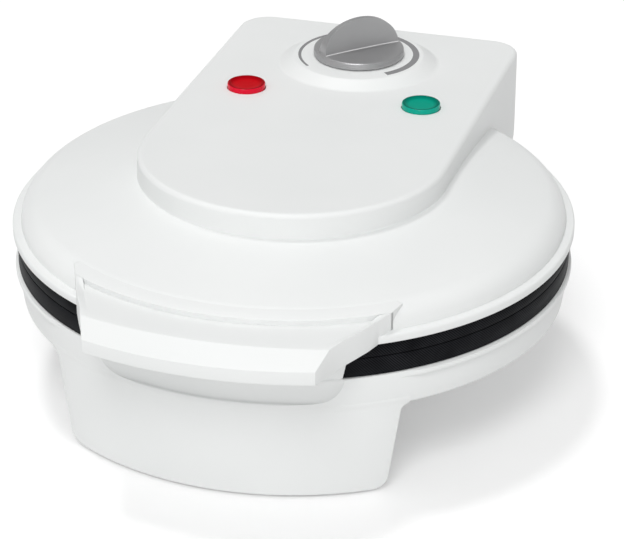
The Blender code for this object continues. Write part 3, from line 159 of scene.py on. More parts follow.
def stackRings(name, rings, startOpen=False):
    # a circle is extruded once for each ring, and its points are put on that ring's outline
    deselectAll()
    fill = "NOTHING" if startOpen else "NGON"
    bpy.ops.mesh.primitive_circle_add(vertices=len(rings[0]), radius=0.01, fill_type=fill)
    piece = bpy.context.object
    piece.name = name
    bpy.ops.object.mode_set(mode="EDIT")
    bpy.ops.mesh.select_mode(type="VERT")
    bpy.ops.mesh.select_all(action="SELECT")
    mesh = bmesh.from_edit_mesh(piece.data)
    order = mesh.verts.layers.int.new("order")
    for number, vertex in enumerate(mesh.verts):
        vertex[order] = number
    bmesh.update_edit_mesh(piece.data)
    placeRing(piece, rings[0])
    for ring in rings[1:]:
        if startOpen:
            bpy.ops.mesh.extrude_edges_move()
        else:
            bpy.ops.mesh.extrude_region_move()
        placeRing(piece, ring)
    if startOpen:
        bpy.ops.mesh.edge_face_add()
    cleanMesh()
    bpy.ops.object.mode_set(mode="OBJECT")
    return piece


def applyModifier(piece, kind, **settings):
    activate(piece)
    bpy.ops.object.modifier_add(type=kind)
    modifier = piece.modifiers[-1]
    for name, value in settings.items():
        setattr(modifier, name, value)
    bpy.ops.object.modifier_apply(modifier=modifier.name)


def cutWith(piece, cutters):
    for cutter in cutters:
        applyModifier(piece, "BOOLEAN", operation="DIFFERENCE", solver="EXACT", object=cutter)
        activate(cutter)
        bpy.ops.object.delete()


def addRod(name, radius, length, middle, turned=(0, 0, 0), steps=48):
    deselectAll()
    bpy.ops.mesh.primitive_cylinder_add(vertices=steps, radius=radius, depth=length, location=middle,
                                        rotation=[math.radians(turn) for turn in turned])
    piece = bpy.context.object
    piece.name = name
    bpy.ops.object.transform_apply(location=True, rotation=True, scale=True)
    return piece


def roundRod(name, radius, low, high, x, y, steps=48):
    return addRod(name, radius, high - low, (x, y, (low + high) / 2), steps=steps)


def drillEnd(piece, outward, margin, depth):
    # the end face that looks outward is inset by the margin and pushed in
    editMode(piece)
    selectParts(piece, lambda face: face.normal.dot(Vector(outward)) > 0.9)
    bpy.ops.mesh.inset(thickness=margin)
    bpy.ops.mesh.extrude_region_move(TRANSFORM_OT_translate={"value": [-depth * share for share in outward]})
    bpy.ops.object.mode_set(mode="OBJECT")


def roundEdges(piece, width, angle, segments=3):
    applyModifier(piece, "BEVEL", width=width, segments=segments, limit_method="ANGLE",
                  angle_limit=math.radians(angle), use_clamp_overlap=True)


def copyOf(piece, name, place):
    # a copy with its own mesh, moved, turned or mirrored by the matrix
    twin = piece.copy()
    twin.data = piece.data.copy()
    twin.name = name
    bpy.context.scene.collection.objects.link(twin)
    twin.data.transform(place)
    return twin


def finishPiece(piece, body, material, replaced=(), smoothAngle=32):
    editMode(piece)
    cleanMesh()
    bpy.ops.object.mode_set(mode="OBJECT")
    if "order" in piece.data.attributes:
        piece.data.attributes.remove(piece.data.attributes["order"])
    bpy.ops.object.shade_smooth_by_angle(angle=math.radians(smoothAngle))
    piece.data.materials.clear()
    piece.data.materials.append(material)
    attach(piece, body)
    if replaced:
        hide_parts(*replaced)
    return piece


def heightOn(profile, radius):
    # height of a profile of (radius, height) that runs outwards
    for (nearRadius, nearZ), (farRadius, farZ) in zip(profile, profile[1:]):
        if nearRadius <= radius <= farRadius and farRadius > nearRadius:
            return nearZ + (farZ - nearZ) * (radius - nearRadius) / (farRadius - nearRadius)
    return profile[-1][1]


# materials

def newGroup(name, inputs, outputs):
    tree = bpy.data.node_groups.new(name, "ShaderNodeTree")
    for label, kind, value in inputs:
        socket = tree.interface.new_socket(name=label, in_out="INPUT", socket_type=kind)
        socket.default_value = value
    for label, kind in outputs:
        tree.interface.new_socket(name=label, in_out="OUTPUT", socket_type=kind)
    return tree, tree.nodes.new("NodeGroupInput"), tree.nodes.new("NodeGroupOutput")


def mouldedGrainGroup():
    # fine skin of a moulding: a height for the bump, and a slow drift for colour and gloss
    tree, inside, outside = newGroup(
        "mouldedGrain",
        [("Grain Scale", "NodeSocketFloat", 2200.0), ("Drift Scale", "NodeSocketFloat", 22.0)],
        [("Height", "NodeSocketFloat"), ("Drift", "NodeSocketFloat")])
    where = tree.nodes.new("ShaderNodeTexCoord")
    grain = tree.nodes.new("ShaderNodeTexNoise")
    grain.inputs["Detail"].default_value = 3.0
    drift = tree.nodes.new("ShaderNodeTexNoise")
    drift.inputs["Detail"].default_value = 2.0
    for texture in (grain, drift):
        tree.links.new(where.outputs["Object"], texture.inputs["Vector"])
    tree.links.new(inside.outputs["Grain Scale"], grain.inputs["Scale"])
    tree.links.new(inside.outputs["Drift Scale"], drift.inputs["Scale"])
    tree.links.new(grain.outputs["Fac"], outside.inputs["Height"])
    tree.links.new(drift.outputs["Fac"], outside.inputs["Drift"])
    return tree


def turnedLinesGroup():
    # fine slanting lines round an axis, as a lathe leaves them
    tree, inside, outside = newGroup(
        "turnedLines",
        [("Count", "NodeSocketFloat", 900.0), ("Slant", "NodeSocketFloat", 18000.0),
         ("Rings", "NodeSocketFloat", 0.0), ("Wobble", "NodeSocketFloat", 1.2),
         ("Centre X", "NodeSocketFloat", 0.0), ("Centre Y", "NodeSocketFloat", 0.0)],
        [("Height", "NodeSocketFloat"), ("Shade", "NodeSocketFloat")])
    where = tree.nodes.new("ShaderNodeTexCoord")
    split = tree.nodes.new("ShaderNodeSeparateXYZ")
    tree.links.new(where.outputs["Object"], split.inputs[0])

    def maths(operation, first, second=None, third=None):
        node = tree.nodes.new("ShaderNodeMath")
        node.operation = operation
        for slotNumber, value in enumerate((first, second, third)):
            if value is None:
                continue
            if isinstance(value, float):
                node.inputs[slotNumber].default_value = value
            else:
                tree.links.new(value, node.inputs[slotNumber])
        return node.outputs[0]

    x = maths("SUBTRACT", split.outputs["X"], inside.outputs["Centre X"])
    y = maths("SUBTRACT", split.outputs["Y"], inside.outputs["Centre Y"])
    angle = maths("ARCTAN2", y, x)
    radius = maths("SQRT", maths("ADD", maths("MULTIPLY", x, x), maths("MULTIPLY", y, y)))
    phase = maths("MULTIPLY", angle, inside.outputs["Count"])
    phase = maths("MULTIPLY_ADD", split.outputs["Z"], inside.outputs["Slant"], phase)
    phase = maths("MULTIPLY_ADD", radius, inside.outputs["Rings"], phase)
    wobble = tree.nodes.new("ShaderNodeTexNoise")
    wobble.inputs["Scale"].default_value = 120.0
    tree.links.new(where.outputs["Object"], wobble.inputs["Vector"])
    phase = maths("MULTIPLY_ADD", wobble.outputs["Fac"], inside.outputs["Wobble"], phase)
    wave = maths("MULTIPLY_ADD", maths("SINE", phase), 0.5, 0.5)
    tree.links.new(wave, outside.inputs["Height"])
    tree.links.new(maths("MULTIPLY", wave, wobble.outputs["Fac"]), outside.inputs["Shade"])
    return tree


mouldedGrain = mouldedGrainGroup()
turnedLines = turnedLinesGroup()


def newMaterial(name, roughness, metallic=0.0, **sockets):
    material = bpy.data.materials.new(name)
    material.use_nodes = True
    shader = material.node_tree.nodes["Principled BSDF"]
    shader.inputs["Roughness"].default_value = roughness
    shader.inputs["Metallic"].default_value = metallic
    for label, value in sockets.items():
        shader.inputs[label.replace("_", " ")].default_value = value
    return material, material.node_tree, shader


def addGroup(tree, group, **values):
    node = tree.nodes.new("ShaderNodeGroup")
    node.node_tree = group
    for label, value in values.items():
        node.inputs[label.replace("_", " ")].default_value = value
    return node


def rampColour(tree, factor, low, high, start=0.0, end=1.0):
    ramp = tree.nodes.new("ShaderNodeValToRGB")
    ramp.color_ramp.elements[0].position = start
    ramp.color_ramp.elements[0].color = (*low, 1)
    ramp.color_ramp.elements[1].position = end
    ramp.color_ramp.elements[1].color = (*high, 1)
    tree.links.new(factor, ramp.inputs["Fac"])
    return ramp.outputs["Color"]


def rampValue(tree, factor, low, high):
    node = tree.nodes.new("ShaderNodeMapRange")
    node.inputs["To Min"].default_value = low
    node.inputs["To Max"].default_value = high
    tree.links.new(factor, node.inputs["Value"])
    return node.outputs["Result"]


def addBump(tree, shader, height, distance, strength=1.0):
    bump = tree.nodes.new("ShaderNodeBump")
    bump.inputs["Distance"].default_value = distance
    bump.inputs["Strength"].default_value = strength
    tree.links.new(height, bump.inputs["Height"])
    tree.links.new(bump.outputs["Normal"], shader.inputs["Normal"])


def grainedMaterial(name, low, high, rough, grainScale, bumpHeight, metallic=0.0, driftScale=22.0,
                    **sockets):
    material, tree, shader = newMaterial(name, rough[0], metallic, **sockets)
    grain = addGroup(tree, mouldedGrain, Grain_Scale=grainScale, Drift_Scale=driftScale)
    tree.links.new(rampColour(tree, grain.outputs["Drift"], low, high), shader.inputs["Base Color"])
    tree.links.new(rampValue(tree, grain.outputs["Drift"], *rough), shader.inputs["Roughness"])
    addBump(tree, shader, grain.outputs["Height"], bumpHeight)
    return material


def turnedMaterial(name, low, high, rough, bumpHeight, lines, metallic=1.0, **sockets):
    material, tree, shader = newMaterial(name, rough[0], metallic, **sockets)
    group = addGroup(tree, turnedLines, **lines)
    colour = rampColour(tree, group.outputs["Shade"], low, high, 0.05, 0.6)
    tree.links.new(colour, shader.inputs["Base Color"])
    tree.links.new(rampValue(tree, group.outputs["Shade"], *rough), shader.inputs["Roughness"])
    addBump(tree, shader, group.outputs["Height"], bumpHeight)
    return material


# colours run from the first to the second with the drift of the grain, and so does the roughness
whitePlastic = grainedMaterial("whitePlastic", (0.775, 0.79, 0.785), (0.82, 0.83, 0.825), (0.42, 0.52),
                               2600, 0.000008, Specular_IOR_Level=0.35)
castCoating = turnedMaterial("castCoating", (0.002, 0.0022, 0.003), (0.019, 0.020, 0.023), (0.45, 0.60),
                             0.00002, {"Count": 620.0, "Slant": 5600.0, "Wobble": 7.0, "Centre_Y": plateY},
                             metallic=0.0, Specular_IOR_Level=0.04)
bakingFace = grainedMaterial("bakingFace", (0.016, 0.016, 0.017), (0.027, 0.027, 0.028), (0.26, 0.36),
                             1800, 0.00001, Specular_IOR_Level=0.5)
silverPaint = grainedMaterial("silverPaint", (0.34, 0.34, 0.345), (0.42, 0.42, 0.425), (0.32, 0.40),
                              4200, 0.000008, metallic=0.6, driftScale=60.0)
# a lighter copy of the knob's silver for the grip lines: painted highlight
paintedHighlightSilver = grainedMaterial("paintedHighlightSilver", (0.80, 0.80, 0.80), (0.88, 0.88, 0.88), (0.2, 0.3),
                             4200, 0.000004, metallic=0.3, driftScale=60.0)
greyPrint = grainedMaterial("greyPrint", (0.20, 0.20, 0.205), (0.27, 0.27, 0.275), (0.45, 0.55),
                            3000, 0.000006)
brightSteel = turnedMaterial("brightSteel", (0.50, 0.50, 0.49), (0.66, 0.66, 0.64), (0.24, 0.42),
                             0.00001, {"Count": 300.0, "Slant": 9000.0, "Rings": 5200.0, "Centre_Y": plateY})
darkSheath = grainedMaterial("darkSheath", (0.08, 0.07, 0.06), (0.27, 0.235, 0.21), (0.42, 0.62),
                             1500, 0.00003, metallic=0.8, driftScale=70.0)
greyRubber = grainedMaterial("greyRubber", (0.045, 0.045, 0.045), (0.105, 0.105, 0.105), (0.7, 0.88),
                             3000, 0.00003)
ceramicBody = grainedMaterial("ceramicBody", (0.62, 0.59, 0.52), (0.80, 0.77, 0.70), (0.5, 0.7),
                              2500, 0.00004)
resinCase = grainedMaterial("resinCase", (0.04, 0.026, 0.019), (0.09, 0.064, 0.048), (0.42, 0.56),
                            2200, 0.00002)
lampGlass = grainedMaterial("lampGlass", (0.68, 0.48, 0.38), (0.82, 0.64, 0.52), (0.05, 0.1),
                            900, 0.000002, Transmission_Weight=0.7)
wovenSleeve = grainedMaterial("wovenSleeve", (0.60, 0.60, 0.56), (0.80, 0.80, 0.76), (0.6, 0.75),
                              3600, 0.00006)

# where the painted shade on the lens faces starts and where it is full, with their gloss and grain
lensShadingAndGloss = {"clearTo": 4.8 * mm, "paintedShadingFrom": 7.4 * mm, "roughness": (0.06, 0.12), "grainScale": 900,
            "driftScale": 60, "bumpHeight": 0.000002}


def lensMaterial(name, side, paintedEdgeShading, clear, specular):
    # clear colour in the middle, running outwards into the edge colour: painted shade that darkens the lens
    # faces towards their edge, and painted light that makes the rim copies lighter
    material, tree, shader = newMaterial(name, 0.08, Specular_IOR_Level=specular)
    where = tree.nodes.new("ShaderNodeTexCoord")
    centre = tree.nodes.new("ShaderNodeMapping")
    centre.inputs["Location"].default_value = (-side * lensX, -lensY, 0)
    centre.inputs["Scale"].default_value = (1, 1, 0)
    reach = tree.nodes.new("ShaderNodeVectorMath")
    reach.operation = "LENGTH"
    tree.links.new(where.outputs["Object"], centre.inputs["Vector"])
    tree.links.new(centre.outputs["Vector"], reach.inputs[0])
    share = tree.nodes.new("ShaderNodeMapRange")
    share.inputs["From Min"].default_value = lensShadingAndGloss["clearTo"]
    share.inputs["From Max"].default_value = lensShadingAndGloss["paintedShadingFrom"]
    tree.links.new(reach.outputs["Value"], share.inputs["Value"])
    tree.links.new(rampColour(tree, share.outputs["Result"], clear, paintedEdgeShading), shader.inputs["Base Color"])
    grain = addGroup(tree, mouldedGrain, Grain_Scale=lensShadingAndGloss["grainScale"],
                     Drift_Scale=lensShadingAndGloss["driftScale"])
    gloss = rampValue(tree, grain.outputs["Drift"], *lensShadingAndGloss["roughness"])
    tree.links.new(gloss, shader.inputs["Roughness"])
    addBump(tree, shader, grain.outputs["Height"], lensShadingAndGloss["bumpHeight"])
    return material


# the lens faces darken towards their edge: painted shade
redLens = lensMaterial("redLens", -1, (0.26, 0.0005, 0.004), (0.52, 0.001, 0.006), 0.02)
greenLens = lensMaterial("greenLens", 1, (0.0, 0.12, 0.085), (0.0, 0.31, 0.215), 0.02)
# lighter red copies for the rounded rim and side: painted light
redRim = lensMaterial("redRim", -1, (0.70, 0.002, 0.025), (0.50, 0.002, 0.012), 0.2)
greenRim = lensMaterial("greenRim", 1, (0.0, 0.36, 0.26), (0.0, 0.26, 0.19), 0.2)
print("materials ready")

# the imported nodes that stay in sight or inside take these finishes
nodeMaterials = {
    "white_plastic": whitePlastic,
    "dark_cast_plate": castCoating,
    "bright_steel": brightSteel,
    "satin_silver": silverPaint,
    "element_steel": darkSheath,
    "red_lens": redLens,
    "green_lens": greenLens,
    "grey_rubber": greyRubber,
    "ceramic": ceramicBody,
    "thermostat_case": resinCase,
    "lamp_glass": lampGlass,
    "fuse_sleeve": wovenSleeve,
}
for part in frame["record"]["subparts"]:
    node = frame["nodes"][part["node"]]
    for number in range(len(node.material_slots)):
        node.material_slots[number].material = nodeMaterials[part["material_slot"]]

# lid dome: a spun shell with its rim bead

lidDome = {
    "radius": 110.0 * mm,
    "rimHeight": 3.3 * mm,
    "rimEdge": 0.9 * mm,
    "shoulderIn": 97.3 * mm,
    "shoulderSize": 9.3 * mm,
    "slope": 0.21,
    "crownBlend": 5.0 * mm,
    "grooveIn": 106.9 * mm,
    "grooveHeight": 3.25 * mm,
    # inset and height, then radius and height of the inner wall, in mm
    "underRound": ((0.0, 0.5), (0.15, 0.15), (0.5, 0.0)),
    "inside": ((105.2, 0.0), (105.0, 0.2), (104.6, 4.5), (101.5, 8.6), (97.0, 10.2)),
    "crownInside": 62.0 * mm,
    "crownWall": 2.4 * mm,
    "steps": 216,
}


def domeOutside():
    # flat crown, a soft bend, the cone and the round shoulder
    d = lidDome
    lean = math.atan(d["slope"])
    middle = lidRimZ + d["rimHeight"]
    joinRadius = d["shoulderIn"] + d["shoulderSize"] * math.sin(lean)
    joinZ = middle + d["shoulderSize"] * math.cos(lean)
    bendRadius = joinRadius - (crownZ - joinZ) / d["slope"]
    profile = [(0.0, crownZ), (bendRadius / 2, crownZ)]
    for step in range(9):
        radius = bendRadius + d["crownBlend"] * (step / 4 - 1)
        profile.append((radius, crownZ - d["slope"] * d["crownBlend"] * (step / 8) ** 2))
    coneTop = profile[-1]
    for share in (0.25, 0.5, 0.75):
        profile.append((coneTop[0] + (joinRadius - coneTop[0]) * share,
                        coneTop[1] + (joinZ - coneTop[1]) * share))
    for step in range(15):
        turn = lean + (math.pi / 2 - lean) * step / 14
        profile.append((d["shoulderIn"] + d["shoulderSize"] * math.sin(turn),
                        middle + d["shoulderSize"] * math.cos(turn)))
    return profile


def domeRim():
    d = lidDome
    top = lidRimZ + d["rimHeight"]
    outside = []
    for turn in (0, 22, 45, 68, 90):
        angle = math.radians(turn)
        outside.append((d["radius"] - d["rimEdge"] * (1 - math.sin(angle)),
                        top - d["rimEdge"] * (1 - math.cos(angle))))
    return outside + [(d["radius"] - inset * mm, lidRimZ + height * mm) for inset, height in d["underRound"]]


def domeInside():
    d = lidDome
    ceiling = crownZ - d["crownWall"]
    inside = [(radius * mm, lidRimZ + height * mm) for radius, height in d["inside"]]
    return inside + [(d["crownInside"], ceiling), (0.0, ceiling)]


domeWhole = domeOutside() + [(lidDome["grooveIn"], lidRimZ + lidDome["grooveHeight"])] + domeRim()
lidDomePiece = spinProfile("lidDome", domeWhole + domeInside(), plateY, lidDome["steps"])
finishPiece(lidDomePiece, "lid", whitePlastic, ["lid_housing"])
print("lid dome done")

# console and the tower that covers the hinge: one skin, lifted ring by ring

console = {
    "halfWidth": 61.0 * mm,
    "rear": 139.5 * mm,
    "corner": 13.0 * mm,
    "edge": 2.0 * mm,
    "footBlend": 0.4 * mm,
    "wall": 2.4 * mm,
    "towerFront": 93.3 * mm,
    "towerSweep": 14.8 * mm,
    "towerDrop": 11.5 * mm,
    "towerRound": 5.0 * mm,
    "blendEnd": 84 * mm,
    "blendFade": 6 * mm,
    "topMargin": 0.5 * mm,
    "lensHole": 8.0 * mm,
    "spindleHole": 4.2 * mm,
}


def consoleOutline():
    # (x, y, outward x, outward y) round the console, from its left side over the front
    c = console
    half, rear, corner = c["halfWidth"], c["rear"], c["corner"]
    sideEnd = rear - corner
    outline = []
    for i in range(73):
        turn = math.pi + math.pi * i / 72
        outline.append((half * math.cos(turn), half * math.sin(turn), math.cos(turn), math.sin(turn)))
    outline += [(half, sideEnd * i / 84, 1, 0) for i in range(1, 85)]
    for i in range(1, 15):
        turn = math.pi / 2 * i / 14
        outline.append((half - corner + corner * math.cos(turn), sideEnd + corner * math.sin(turn),
                        math.cos(turn), math.sin(turn)))
    outline += [((half - corner) * (1 - i / 12), rear, 0, 1) for i in range(1, 25)]
    for i in range(1, 15):
        turn = math.pi / 2 * (1 + i / 14)
        outline.append((corner - half + corner * math.cos(turn), sideEnd + corner * math.sin(turn),
                        math.cos(turn), math.sin(turn)))
    outline += [(-half, sideEnd * (1 - i / 84), -1, 0) for i in range(1, 84)]
    return outline


def consoleFootZ(x, y):
    c = console
    if y >= c["towerFront"]:
        share = min(1.0, (y - c["towerFront"]) / c["towerSweep"])
        return lidRimZ - c["towerDrop"] * math.sqrt(1 - (1 - share) ** 2)
    radius = math.hypot(x, y)
    if radius > lidDome["radius"]:
        return lidRimZ
    return heightOn(domeWhole[:-3], radius) - 0.05 * mm


def consoleRings():
    c = console
    outline = consoleOutline()
    rings = []
    blends = []
    for x, y, nx, ny in outline:
        blends.append(c["footBlend"] * min(1.0, max(0.04, (c["blendEnd"] - y) / c["blendFade"])))
    for step in range(7):
        turn = math.pi / 2 * step / 6
        ring = []
        for (x, y, nx, ny), blend in zip(outline, blends):
            out = blend * (1 - math.sin(turn))
            foot = consoleFootZ(x + nx * out, y + ny * out)
            ring.append([x + nx * out, y + ny * out, foot + blend * (1 - math.cos(turn))])
        rings.append(ring)
    start = [point[2] for point in rings[-1]]
    for step in range(1, 13):
        share = step / 12
        rings.append([[x, y, z + (consoleTopZ(y) - c["edge"] - z) * share]
                      for (x, y, nx, ny), z in zip(outline, start)])
    for step in range(1, 9):
        turn = math.pi / 2 * step / 8
        inset = c["edge"] * (1 - math.cos(turn))
        fall = c["edge"] * (1 - math.sin(turn))
        rings.append([[x - nx * inset, y - ny * inset, consoleTopZ(y - ny * inset) - fall]
                      for x, y, nx, ny in outline])
    inset = c["edge"] + c["topMargin"]
    rings.append([[x - nx * inset, y - ny * inset, consoleTopZ(y - ny * inset)] for x, y, nx, ny in outline])
    placed = []
    for ring in rings:
        row = []
        for (x, y, z), (_, _, nx, ny) in zip(ring, outline):
            missing = c["towerRound"] - (z - lidRimZ + c["towerDrop"])
            if missing > 0:
                y -= ny * (c["towerRound"] - math.sqrt(max(0.0, c["towerRound"] ** 2 - missing ** 2)))
            row.append((x, y + plateY, z))
        placed.append(row)
    return placed


consolePiece = stackRings("console", consoleRings(), startOpen=True)
applyModifier(consolePiece, "SOLIDIFY", thickness=console["wall"], offset=-1, use_even_offset=True)
holeCutters = [roundRod("hole", console["lensHole"], consoleZ - 5 * mm, consoleZ + 3 * mm,
                        side * lensX, lensY, 72) for side in (-1, 1)]
holeCutters.append(roundRod("hole", console["spindleHole"], consoleZ - 6 * mm, consoleZ + 2 * mm, 0, dialY))
cutWith(consolePiece, holeCutters)
finishPiece(consolePiece, "lid", whitePlastic)
print("console done")

# low round boss under the knob, and the grey scale printed on it

dialBoss = {"foot": 33.0 * mm, "top": 27.0 * mm, "hole": console["spindleHole"], "footBlend": 2.0 * mm,
            "edge": 1.0 * mm, "sunk": 1.6 * mm, "steps": 144}


def bossProfile():
    # a straight cone with a small blend at its foot and at its top edge
    d = dialBoss
    rise = bossZ - consoleZ
    lean = (d["foot"] - d["top"]) / rise
    profile = [(d["hole"], consoleZ - d["sunk"]), (d["foot"] + d["footBlend"], consoleZ - d["sunk"])]
    for step in range(9):
        share = step / 8
        out = d["footBlend"] * (1 - share)
        height = d["footBlend"] / lean * share ** 2 / 2
        profile.append((d["foot"] + out - d["footBlend"] / 2, consoleZ + height))
    coneFoot = profile[-1]
    coneHead = (d["top"] + d["edge"] / 2, bossZ - d["edge"] / lean / 2)
    for share in (0.25, 0.5, 0.75):
        profile.append((coneFoot[0] + (coneHead[0] - coneFoot[0]) * share,
                        coneFoot[1] + (coneHead[1] - coneFoot[1]) * share))
    for step in range(6):
        left = 1 - step / 5
        profile.append((d["top"] - d["edge"] / 2 + d["edge"] * left,
                        bossZ - d["edge"] / lean * left ** 2 / 2))
    return profile + [(d["hole"], bossZ), (d["hole"], consoleZ - d["sunk"])]


dialBossPiece = spinProfile("dialBoss", bossProfile(), dialY, dialBoss["steps"])
for vertex in dialBossPiece.data.vertices:
    share = min(1.0, max(0.0, (bossZ - vertex.co.z) / (bossZ - consoleZ)))
    vertex.co.z += consoleSlope * (dialY - vertex.co.y) * share
finishPiece(dialBossPiece, "lid", whitePlastic)

scalePrint = {"outer": 25.3 * mm, "thin": 1.0 * mm, "thick": 3.1 * mm, "start": -137.0, "end": 137.0,
              "height": 0.04 * mm, "sunk": 0.02 * mm}


def scaleRings():
    # the band starts thin at the front left and ends thick at the front right
    s = scalePrint
    rings = []
    for step in range(121):
        share = step / 120
        turn = math.radians(s["start"] + (s["end"] - s["start"]) * share)
        width = s["thin"] + (s["thick"] - s["thin"]) * share
        low, high = bossZ - s["sunk"], bossZ + s["height"]
        inner = s["outer"] - width
        corners = ((s["outer"], low), (s["outer"], high), (inner, high), (inner, low))
        rings.append([(radius * math.sin(turn), dialY + radius * math.cos(turn), z) for radius, z in corners])
    return rings


scalePiece = stackRings("scalePrint", scaleRings())
finishPiece(scalePiece, "lid", greyPrint)
print("dial done")

# front handle: rows from inside the dome to the lip

handle = {
    "lipFront": 129.0 * mm,
    "lipHalf": 43.7 * mm,
    "creaseY": 121.2 * mm,
    "creaseHalf": 46.8 * mm,
    "rootHalf": {-1: 61.0 * mm, 1: 64.5 * mm},      # the left flank runs back a little straighter
    "rootY": 82.7 * mm,
    "drop": 3.3 * mm,
    "lipTop": 1.9 * mm,
    "creaseRise": 7.5 * mm,
    "bow": 6.5 * mm,
    "stepRadius": 107.0 * mm,
    "stepDrop": 2.3 * mm,
    "stepUndercut": 0.5 * mm,
    "stepShare": 0.92,              # the step reaches this far out to the flanks
    "stepRamp": 0.012,
    "stepEnd": 3.2 * mm,
    "underRadius": 110.1 * mm,
    "insideRise": 1.7 * mm,
    # rows inside the dome: radius, height over its cone, thickness in mm, and share of the full width
    "sunkRows": ((88, -0.6, 5, 0.80), (94, -0.2, 4, 0.84), (97.6, -0.05, 4, 0.89), (99.6, 0.03, 4, 0.94),
                 (103, 0.02, 5, 1.0)),
    "lipRows": (109.0, 109.9, 110.1, 112, 115, 118),         # radii of the rows out to the crease, mm
    "coneRise": 12.6 * mm,
    "edge": 0.7 * mm,
}


def coneZ(radius):
    return lidRimZ + handle["coneRise"] - lidDome["slope"] * (radius - lidDome["shoulderIn"])


def flankOn(radius, side):
    # half width of the handle where its flank crosses a circle round the plates' centre
    h = handle
    root = h["rootHalf"][side]
    half = root
    for _ in range(12):
        y = math.sqrt(radius ** 2 - half ** 2)
        share = (y - h["rootY"]) / (h["creaseY"] - h["bow"] - h["rootY"])
        half = min(root + (h["creaseHalf"] - root) * share, root)
    return half


def handleColumns():
    # shares of the half width, with a close pair where the step ends
    step = handle["stepShare"]
    ramp = step + handle["stepRamp"]
    return ([step * i / 22 for i in range(23)] + [step + handle["stepRamp"] / 3, ramp]
            + [ramp + (1 - ramp) * i / 5 for i in range(1, 6)])


def handleRow(radius, middleY, side, bow, heights):
    # half a row, from the middle out to one flank, as points of the top and of the underside
    h = handle
    half, edge, margin, middle, floor = heights
    stepOut = h["stepShare"] + h["stepRamp"] / 2
    ramp = h["stepShare"] + h["stepRamp"]
    top = []
    bottom = []
    for u in handleColumns():
        x = half * u
        y = math.sqrt(radius ** 2 - x ** 2) if radius else middleY - bow * u * u
        z = middle if u <= stepOut else margin + (edge - margin) * (u - ramp) / (1 - ramp)
        top.append((side * x, plateY - y, z))
        bottom.append((side * x, plateY - y, floor))
    return top, bottom


def handleRows(side):
    # (radius or None, middle y, bow, (half width, heights at the flank, margin and middle, floor))
    h = handle
    stepTop = coneZ(h["stepRadius"])
    creaseZ = lidRimZ + h["creaseRise"]
    under = lidRimZ - h["drop"]
    inside = lidRimZ + h["insideRise"]
    rows = []
    for radius, lift, depth, width in h["sunkRows"]:
        top = coneZ(radius * mm) + lift * mm
        half = flankOn(radius * mm, side) * width
        rows.append((radius * mm, radius * mm, 0, (half, top, top, top, top - depth * mm)))
    half = flankOn(h["stepRadius"], side)
    rows.append((h["stepRadius"], h["stepRadius"], 0, (half, stepTop, stepTop, stepTop, inside)))
    radius = h["stepRadius"] - h["stepUndercut"]
    half = flankOn(radius, side)
    rows.append((radius, radius, 0, (half, stepTop, stepTop, stepTop - h["stepDrop"], inside)))
    reach = h["creaseY"] - h["underRadius"]
    for radius in [row * mm for row in h["lipRows"]]:
        share = (radius - h["stepRadius"]) / (h["creaseY"] - h["stepRadius"])
        middle = stepTop - h["stepDrop"] + (creaseZ - stepTop + h["stepDrop"]) * share
        edgeLift = h["stepDrop"] * (1 - share)
        lift = edgeLift * max(0.0, 1 - (radius - h["stepRadius"]) / h["stepEnd"])
        half = flankOn(radius, side)
        bow = radius - math.sqrt(radius ** 2 - half ** 2)
        outward = max(0.0, (radius - h["underRadius"]) / reach)
        half += (h["creaseHalf"] - half) * outward ** 2
        floor = inside if radius < h["underRadius"] else lidRimZ + (under - lidRimZ) * outward
        rows.append((None, radius, bow + (h["bow"] - bow) * outward,
                     (half, middle + edgeLift, middle + lift, middle, floor)))
    rows.append((None, h["creaseY"], h["bow"], (h["creaseHalf"], creaseZ, creaseZ, creaseZ, under)))
    for share in (0.33, 0.66, 1.0):
        top = creaseZ + (lidRimZ + h["lipTop"] - creaseZ) * share
        rows.append((None, h["creaseY"] + (h["lipFront"] - h["creaseY"]) * share, h["bow"],
                     (h["creaseHalf"] + (h["lipHalf"] - h["creaseHalf"]) * share, top, top, top, under)))
    return rows


def handleRings():
    rings = []
    for leftRow, rightRow in zip(handleRows(-1), handleRows(1)):
        leftTop, leftBottom = handleRow(leftRow[0], leftRow[1], -1, *leftRow[2:])
        rightTop, rightBottom = handleRow(rightRow[0], rightRow[1], 1, *rightRow[2:])
        upper = leftTop[::-1] + rightTop[1:]
        lower = leftBottom[::-1] + rightBottom[1:]
        rings.append(upper + lower[::-1])
    return rings


handlePiece = stackRings("handle", handleRings())
# the bowed front of the lip is rebuilt as a strip between its upper and its lower edge
editMode(handlePiece)
lipLine = plateY - handle["underRadius"]
selectParts(handlePiece, lambda face: len(face.verts) > 60 and face.calc_center_median().y < lipLine)
bpy.ops.mesh.delete(type="ONLY_FACE")
selectParts(handlePiece, lambda edge: edge.is_boundary and
            abs(edge.verts[1].co.z - edge.verts[0].co.z) < 0.5 * mm, "EDGE")
bpy.ops.mesh.bridge_edge_loops()
bpy.ops.mesh.select_all(action="DESELECT")
bpy.ops.object.mode_set(mode="OBJECT")
roundEdges(handlePiece, handle["edge"], 28)
finishPiece(handlePiece, "lid", whitePlastic, smoothAngle=40)

guard = {"inner": 109.0 * mm, "wall": 1.8 * mm, "topHalf": 50.4 * mm, "lowHalf": 47.7 * mm, "low": 1.4 * mm,
         "high": 2.0 * mm, "edge": 0.35 * mm}


def sectorRing(inner, outer, halfAngle, z, facing, steps=40, leftAngle=None):
    first = -(leftAngle or halfAngle)
    angles = [first + (halfAngle - first) * i / steps for i in range(steps + 1)]
    far = [(outer * math.sin(a), plateY + facing * outer * math.cos(a), z) for a in angles]
    near = [(inner * math.sin(a), plateY + facing * inner * math.cos(a), z) for a in reversed(angles)]
    return far + near


def guardRing(z, half):
    outer = guard["inner"] + guard["wall"]
    return sectorRing(guard["inner"], outer, math.asin(half / outer), z, -1)


